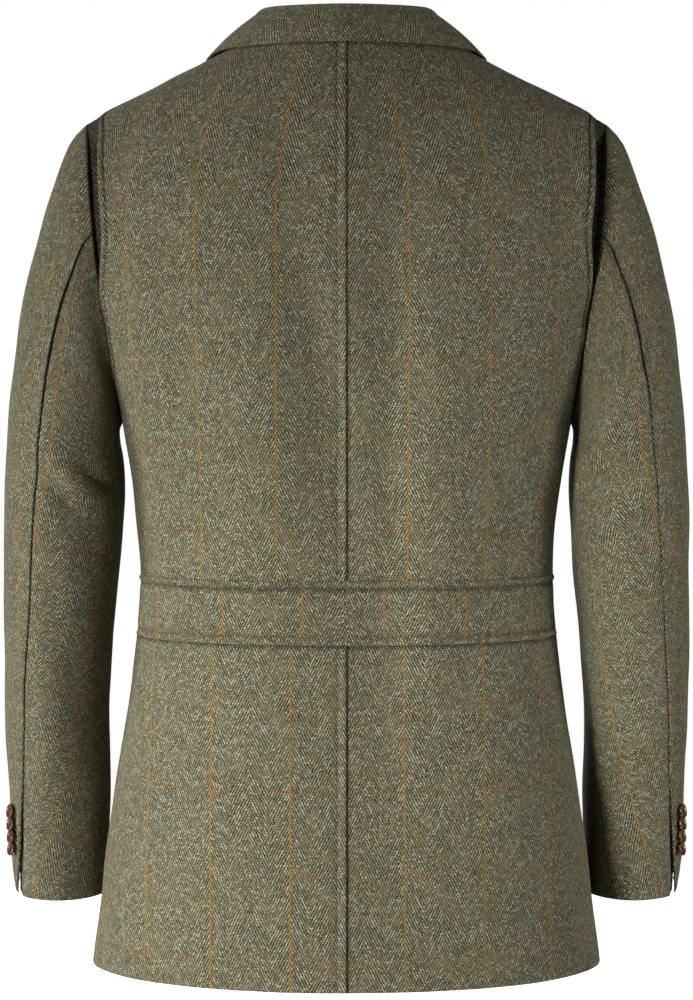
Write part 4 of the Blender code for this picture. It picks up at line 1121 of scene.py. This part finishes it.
def collarSection(share):
    base, stand, lean, edgeAngle, edgeZ, standOff = (
        float(curve(np.arange(len(collarRows)), collarRows[:, k], share)) for k in range(6)
    )
    if share <= collar["sideRow"]:
        foot = torsoPoint(math.pi / 2 * (1 - share / collar["sideRow"]), body["neck"])
    else:
        foot = torsoPoint(angleAtWidth(frontEdgeX(base), base, False), base)
    angle = np.array(math.radians(edgeAngle))
    edge = torsoPoint(angle, edgeZ) + normalsOf(torsoPoint, angle, np.array(edgeZ)) * (standOff - cloth["thick"] / 2)
    outward = unit((edge - foot) * np.array([1, 1, 0]))
    up = np.array([0, 0, 1.0])
    radius = collar["rollRadius"]
    foot = foot + up * collar["baseStep"] - outward * (cloth["thick"] / 2 + collar["gap"])
    rollStart = foot + up * (stand - radius) - outward * lean
    rise = [foot + (rollStart - foot) * s for s in np.linspace(0, 1, collar["standPoints"])[:-1]]
    arc = [
        rollStart + outward * (radius * (1 + math.cos(t))) + up * (radius * math.sin(t))
        for t in np.radians(np.linspace(*collar["turnSpan"], collar["turns"]))
    ]
    fallLength = np.linalg.norm(edge - arc[-1])
    first, last = np.array([collar["fallStart"]]), heldStops((collar["stitch"],))
    shares = spacedStops(fallLength, first, last, collar["fallPoints"]) / fallLength
    bulge = outward * collar["bulgeOut"] + up * collar["bulgeUp"]
    fall = [arc[-1] + (edge - arc[-1]) * s + bulge * math.sin(math.pi * s) for s in shares]
    return np.array(rise + arc + fall)


def makeCollar():
    shares = np.linspace(0, len(collarRows) - 1, collar["stations"])
    half = np.stack([collarSection(share) for share in shares], axis=1)
    middle = np.concatenate([mirrored(half[:, :0:-1], right), half], axis=1)
    along, over = np.gradient(middle, axis=1), np.gradient(middle, axis=0)
    normals = unit(np.cross(over, along))
    down = runLengths(middle)
    toEdge = down[-1:] - down
    sideways = runLengths(middle[collar["measuredRow"]])
    sideways = sideways - sideways[len(shares) - 1]
    ends = np.minimum(sideways - sideways[0], sideways[-1] - sideways)[None, :]
    dropped = np.maximum(rolled(toEdge), rolled(ends) * np.ones_like(toEdge))
    dropped = dropped + collar["stitchDepth"] * groove(toEdge, collar["stitch"])
    half = cloth["thick"] / 2
    outer = middle + normals * (half - dropped)[..., None]
    inner = middle - normals * half
    u = np.broadcast_to(sideways[None, :], down.shape) - collar["stripeStart"]
    weave = np.stack([u, toEdge + collar["checkHeight"]], axis=-1)
    # painted shade in the fall's stitch groove
    shadowLines = shadowAlong(toEdge - collar["stitch"], "collarStitch")
    clothShell("collar", outer, inner, weave, normals, shadowLines)
    row = int(np.argmin(np.abs(toEdge.mean(axis=1) - collar["stitch"])))
    stitchRow("stitch_collar", outer[row], normals[row])


# two-piece sleeves

sleeveRows = np.array([  # outer x and z, inner x and z, middle y, depth to the back and front, angle of the hind seam
    (0.2135, -0.0715, 0.1855, -0.3200, 0.000, 0.0620, 0.0660, 75),
    (0.2270, -0.0865, 0.1866, -0.3225, 0.000, 0.0640, 0.0675, 74),
    (0.2432, -0.1280, 0.1875, -0.3255, 0.000, 0.0670, 0.0690, 73),
    (0.2597, -0.1830, 0.1878, -0.3300, -0.001, 0.0695, 0.0700, 72),
    (0.2720, -0.2450, 0.1874, -0.3370, -0.002, 0.0715, 0.0710, 71),
    (0.2792, -0.3100, 0.1855, -0.3500, -0.003, 0.0725, 0.0715, 69),
    (0.2830, -0.3700, 0.1840, -0.3800, -0.004, 0.0720, 0.0710, 66),
    (0.2850, -0.4300, 0.1875, -0.4330, -0.007, 0.0690, 0.0690, 64),
    (0.2855, -0.5000, 0.1945, -0.5000, -0.015, 0.0640, 0.0645, 61),
    (0.2855, -0.5700, 0.1985, -0.5700, -0.027, 0.0590, 0.0600, 56),
    (0.2840, -0.6350, 0.1990, -0.6350, -0.040, 0.0545, 0.0555, 49),
    (0.2835, -0.6920, 0.2000, -0.6920, -0.050, 0.0515, 0.0525, 40),
    (0.2825, -0.7160, 0.2010, -0.7160, -0.054, 0.0505, 0.0515, 35),
])
sleeves = {
    "foreSeam": -120, "fade": 2.0, "armholeStep": 0.0006, "cuffTilt": 4, "cuffTiltFrom": 8,
    "riseHeight": 0.019, "riseFrom": 10, "riseOuter": (35, 5), "riseFront": (-120, -60),
    "ventTop": -0.605, "ventFade": 0.02, "ventOpen": -0.690, "ventWidth": 0.0048,
    "ventFlare": 0.0050, "ventFlareTop": -0.694, "ventBottom": -0.716, "ventShade": (-0.0016, 0.0006),
    "underlap": 0.0115, "underlapDrop": 0.0034, "underlapEdge": (-0.0022, 0.0008),
    "rowStep": 0.0042, "fineSteps": 240, "backAngle": 100, "foldFrom": (0.5, 3),
    "pucker": 0.0005, "puckerPitch": 0.0075, "puckerDrift": (1.3, 90), "puckerWidth": 0.008, "puckerFrom": (0.8, 2),
    "ridge": 0.0024, "ridgeWidth": 0.0090, "ridgeFrom": (0.6, 1.2), "ridgeFade": (3.4, 5.5), "ridgeLost": 0.75,
    "seamSunk": 0.0009, "seamSunkWidth": 0.0016,
    # painted shade along the hind seam: its darkness, width, and how much it fades lower down on each sleeve
    "hindSeamShadow": 0.8, "seamWidth": 0.0010, "seamFade": {left: 0.25, right: 0.6}, "seamFadeSpan": (3, 7),
    "checkHeight": 0.006, "cuffTake": 0.029, "cuffTakeSpan": (-0.65, -0.46),
}
sleeveSheets = {
    "top": {"columns": 56, "slope": 0.06, "held": "hung", "cut": (0.225, 0.650), "cutArea": 0.108},
    "under": {"columns": 62, "slope": -0.22, "held": "hung", "cut": (0.190, 0.560), "cutArea": 0.077},
}
grainRows = np.array([  # height, how far the check's line lies from the hind seam on the top and under sleeve
    (-0.750, -0.040, -0.055),
    (-0.705, -0.030, -0.047),
    (-0.597, -0.006, -0.022),
    (-0.500, 0.011, -0.006),
    (-0.434, 0.015, 0.0005),
    (-0.385, 0.017, 0.006),
    (-0.330, 0.018, 0.0125),
    (-0.200, 0.019, 0.014),
])
lastStation = len(sleeveRows) - 1


def sleeveColumn(number, station):
    return curve(np.arange(len(sleeveRows)), sleeveRows[:, number], station)


def plainSleeve(angle, station):
    angle, station = np.broadcast_arrays(np.asarray(angle, float), np.asarray(station, float))
    outerX, outerZ, innerX, innerZ, middleY, back, front = (sleeveColumn(k, station) for k in range(7))
    cosine, sine = np.cos(angle), np.sin(angle)
    share = (1 + cosine) / 2
    depth = np.where(sine >= 0, back, front) * sine
    z = innerZ + (outerZ - innerZ) * share
    tilt = math.tan(math.radians(sleeves["cuffTilt"]))
    z = z - depth * tilt * smoothBetween(sleeves["cuffTiltFrom"], lastStation, station)
    degrees = np.degrees(angle)
    rise = sleeves["riseHeight"] * smoothBetween(*sleeves["riseOuter"], degrees)
    rise = rise * smoothBetween(*sleeves["riseFront"], degrees)
    z = z + rise * smoothBetween(sleeves["riseFrom"], lastStation, station)
    return np.stack([innerX + (outerX - innerX) * share, middleY + depth, z], axis=-1)


roundAngles = np.linspace(-math.pi, math.pi, 241)
armholeHeights = armholeMid + armholeHalf * np.cos(roundAngles)
armholeDepths = np.where(np.sin(roundAngles) >= 0, body["armholeBack"], body["armholeFront"]) * np.sin(roundAngles)
armholeWidths = np.array([torsoPoint(angleAtDepth(y, z), z)[0] for y, z in zip(armholeDepths, armholeHeights)])
armholeWidths = armholeWidths - plainSleeve(roundAngles, 0)[:, 0]


def sleevePoint(angle, station):  # left sleeve: 0 degrees on the outer side, 90 at the back, 180 next the body
    points = plainSleeve(angle, station)
    angle, station = np.broadcast_arrays(np.asarray(angle, float), np.asarray(station, float))
    fit = np.interp(angle, roundAngles, armholeWidths, period=2 * math.pi)
    points[..., 0] += fit * (1 - smoothBetween(0, sleeves["fade"], station)) + sleeves["armholeStep"]
    return points


def sleeveNormal(angle, station):
    return -normalsOf(sleevePoint, angle, station)


def ventHalf(z):
    gap = sleeves["ventWidth"] * (1 - smoothBetween(sleeves["ventOpen"], sleeves["ventTop"], z))
    flare = sleeves["ventFlare"] * (1 - smoothBetween(sleeves["ventBottom"], sleeves["ventFlareTop"], z))
    return (cloth["seam"] + gap + flare) / 2


def ventOpening(z):
    return 1 - smoothBetween(sleeves["ventTop"] - sleeves["ventFade"], sleeves["ventTop"], z)


def trimAngle(angle, station, half):
    step = np.linalg.norm(sleevePoint(angle + tiny, station) - sleevePoint(angle, station))
    return half * tiny / step


def hindEdge(station, way):
    angle = math.radians(float(sleeveColumn(7, station)))
    return angle + way * trimAngle(angle, station, float(ventHalf(sleevePoint(angle, station)[2])))


def ventLap(angle, station):  # how far the under sleeve goes on beneath the top sleeve at the vent
    return sleeves["underlap"] * float(ventOpening(sleevePoint(angle, station)[2]))


def foreEdge(station, way):
    angle = math.radians(sleeves["foreSeam"])
    return angle + way * trimAngle(angle, station, cloth["seam"] / 2)


def sleeveStations():  # about even along the sleeve's back, close at both ends
    fine = np.linspace(0, lastStation, 2 * fineSteps)
    lengths = runLengths(sleevePoint(math.radians(sleeves["backAngle"]), fine))
    stops = levels(0, lengths[-1], sleeves["rowStep"])
    return np.interp(stops, lengths, fine), stops, lengths[-1] - stops


def makeSleevePart(side, part):
    stations, fromTop, fromCuff = sleeveStations()
    sheet, stops = sleeveSheets[part], heldStops(())
    angles, along, widths = [], [], []
    for station in stations:
        lap = 0.0
        if part == "top":
            start, end = hindEdge(station, -1), foreEdge(station, 1)
        else:
            start, end = hindEdge(station, 1), foreEdge(station, -1) + 2 * math.pi
            lap = ventLap(start, station)
            start = start - trimAngle(start, station, lap)
        fine = np.linspace(start, end, sleeves["fineSteps"])
        lengths = runLengths(sleevePoint(fine, station))
        spaced = spacedStops(lengths[-1], stops, stops, sheet["columns"])
        angles.append(np.interp(spaced, lengths, fine))
        along.append(spaced - lap)
        widths.append(np.full(len(spaced), lengths[-1] - lap))
    angles, along, widths = np.array(angles), np.array(along), np.array(widths)
    down = np.repeat(stations[:, None], angles.shape[1], axis=1)
    points, normals = sleevePoint(angles, down), sleeveNormal(angles, down)
    thickness = normals.copy()
    thickness[..., 0] *= np.where(normals[..., 0] > 0, smoothBetween(0, 1, down), 1)
    thickness = unit(thickness) * cloth["thick"]
    up = points[..., 2]
    grain = curve(grainRows[:, 0], grainRows[:, 1 if part == "top" else 2], up)
    way = 1 if part == "top" else -1
    level = up - sheet["slope"] * along
    level = level - sleeves["cuffTake"] * (1 - smoothBetween(*sleeves["cuffTakeSpan"], up))
    weave = np.stack([side * way * (along - grain), level + sleeves["checkHeight"]], axis=-1)
    points, normals, thickness = (mirrored(each, side) for each in (points, normals, thickness))
    lift = foldHeight(points, normals) * smoothBetween(*sleeves["foldFrom"], down)
    swing, rate = sleeves["puckerDrift"]
    wobble = np.sin(2 * math.pi * fromTop / sleeves["puckerPitch"] + swing * np.sin(fromTop * rate))[:, None]
    puckered = near(along, sleeves["puckerWidth"]) * smoothBetween(*sleeves["puckerFrom"], down)
    lift = lift + sleeves["pucker"] * wobble * puckered
    if part == "top":
        ridge = np.clip(1 - along / sleeves["ridgeWidth"], 0, 1) * smoothBetween(*sleeves["ridgeFrom"], down)
        lost = sleeves["ridgeLost"] * smoothBetween(*sleeves["ridgeFade"], down)
        lift = lift + sleeves["ridge"] * ridge * (1 - lost)
    else:
        vent = ventOpening(up)
        lift = lift - sleeves["seamSunk"] * (1 - vent) * near(along, sleeves["seamSunkWidth"])
        lift = lift - sleeves["underlapDrop"] * vent * (1 - smoothBetween(*sleeves["underlapEdge"], along))
    beside = np.minimum(along - along[:, :1], widths - along)
    ends = np.minimum(fromTop, fromCuff)[:, None] * np.ones_like(along)
    outer = points + normals * lift[..., None]
    inner = outer - thickness
    turned = np.maximum(rolled(beside), rolled(ends))
    outer = outer - thickness * (turned / cloth["thick"])[..., None]
    word = sideNames[side]
    beneath = 1 - smoothBetween(*sleeves["ventShade"], along)  # painted shadow in the slit of the vent, over the under sleeve's lap
    # painted shade along the hind seam, fading lower down and more so on the right sleeve, along the fore seam and
    # round the sleeve head
    seam = sleeves["hindSeamShadow"] - sleeves["seamFade"][side] * smoothBetween(*sleeves["seamFadeSpan"], down)
    shadowLines = beneath + seam * near(along, sleeves["seamWidth"]) + shadowAlong(widths - along, "foreSeam")
    shadowLines = np.clip(shadowLines + shadowAlong(fromTop, "sleeveHead")[:, None], 0, 1)
    clothShell(f"sleeve_{part}_{word}", outer, inner, weave, normals, shadowLines)


# horn buttons

buttonLook = {
    "sides": 40, "clear": 0.0003,
    "threadReach": 0.30, "threadHalf": 0.075, "threadHeight": 0.68, "threadRise": 1.3, "threadSides": (10, 6),
    "cuff": {"radius": 0.0063, "thick": 0.0023, "top": -0.645, "pitch": 0.0108, "count": 4,
             "tilt": 16, "angle": 29, "fromStation": 8},
    "front": {"radius": 0.010, "thick": 0.0036, "top": -0.378, "pitch": 0.098, "count": 3},
}
buttonProfile = (  # share of the radius, share of the thickness
    (0.00, 0.66), (0.30, 0.66), (0.48, 0.67), (0.58, 0.74), (0.66, 0.88), (0.76, 0.98), (0.86, 1.00),
    (0.94, 0.92), (0.985, 0.76), (1.00, 0.55), (0.985, 0.34), (0.94, 0.16), (0.86, 0.05), (0.70, 0.00), (0.00, 0.00),
)


def makeButton(name, radius, thick, place, facing, node):
    sides = buttonLook["sides"]
    turns = 2 * math.pi * np.arange(sides) / sides
    points = [(0, 0, buttonProfile[0][1] * thick)]
    for out, height in buttonProfile[1:-1]:
        points += [(out * radius * math.cos(t), out * radius * math.sin(t), height * thick) for t in turns]
    points.append((0, 0, 0))
    rings = len(buttonProfile) - 2
    faces = [(0, 1 + k, 1 + (k + 1) % sides) for k in range(sides)]
    for ring in range(rings - 1):
        for k in range(sides):
            a, b = 1 + ring * sides + k, 1 + ring * sides + (k + 1) % sides
            faces.append((a, a + sides, b + sides, b))
    bottom, last = len(points) - 1, 1 + (rings - 1) * sides
    faces += [(bottom, last + (k + 1) % sides, last + k) for k in range(sides)]
    mesh = bpy.data.meshes.new(name)
    mesh.from_pydata(points, [], faces)
    mesh.shade_smooth()
    mesh.materials.append(finishes["hornButton"])
    mesh.materials.append(finishes["sewingThread"])
    addCrossThread(mesh, radius, thick)
    button = bpy.data.objects.new(name, mesh)
    turn = Vector(facing).to_track_quat("Z", "Y").to_matrix().to_4x4()
    button.matrix_world = Matrix.Translation(Vector(place)) @ turn
    scene.collection.objects.link(button)
    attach(button, "root")
    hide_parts(node)


def addCrossThread(mesh, radius, thick):  # two crossed loops of thread through the button's holes
    work = bmesh.new()
    work.from_mesh(mesh)
    reach, half = radius * buttonLook["threadReach"], radius * buttonLook["threadHalf"]
    around, over = buttonLook["threadSides"]
    shape = Matrix.Diagonal((reach, half, half * buttonLook["threadRise"], 1))
    for turn in (math.pi / 4, -math.pi / 4):
        spin = Matrix.Rotation(turn, 4, "Z") @ Matrix.Translation((0, 0, thick * buttonLook["threadHeight"]))
        made = bmesh.ops.create_uvsphere(work, u_segments=around, v_segments=over, radius=1, matrix=spin @ shape)
        for vertex in made["verts"]:
            for face in vertex.link_faces:
                face.material_index = 1
                face.smooth = True
    work.to_mesh(mesh)
    work.free()


def makeCuffButtons(side):
    look = buttonLook["cuff"]
    angle = math.radians(look["angle"])
    fine = np.linspace(look["fromStation"], lastStation, fineSteps)
    heights = sleevePoint(angle, fine)[:, 2]
    for number in range(look["count"]):
        station = float(np.interp(-(look["top"] - number * look["pitch"]), -heights, fine))
        one = np.array(angle), np.array(station)
        point, normal = mirrored(sleevePoint(*one), side), mirrored(sleeveNormal(*one), side)
        down = mirrored(unit(sleevePoint(angle, station + tiny) - sleevePoint(angle, station)), side)
        tilt = math.radians(look["tilt"])
        facing = normal * math.cos(tilt) - down * math.sin(tilt)
        clear = look["radius"] * math.sin(tilt) + buttonLook["clear"]
        node = f"cuff_button_{sideNames[side]}_{number + 1}"
        makeButton(f"horn_{node}", look["radius"], look["thick"], point + normal * clear, facing, node)


def makeFrontButtons():
    look = buttonLook["front"]
    for number in range(look["count"]):
        one = np.array(-math.pi / 2), np.array(look["top"] - number * look["pitch"])
        normal = normalsOf(torsoPoint, *one)
        point = torsoPoint(*one) + normal * (fronts["lift"] + buttonLook["clear"])
        node = f"front_button_{number + 1}"
        makeButton(f"horn_{node}", look["radius"], look["thick"], point, normal, node)


for side in (left, right):
    makeUpperBack(side)
    makePleatFloor(side)
    makeSkirt(side)
    makeFront(side)
    makeLapel(side)
    makeSleevePart(side, "top")
    makeSleevePart(side, "under")
    makeCuffButtons(side)
    print("side made:", sideNames[side])
makeBelt()
makeCollar()
makeFrontButtons()
print("belt, collar and front buttons made")
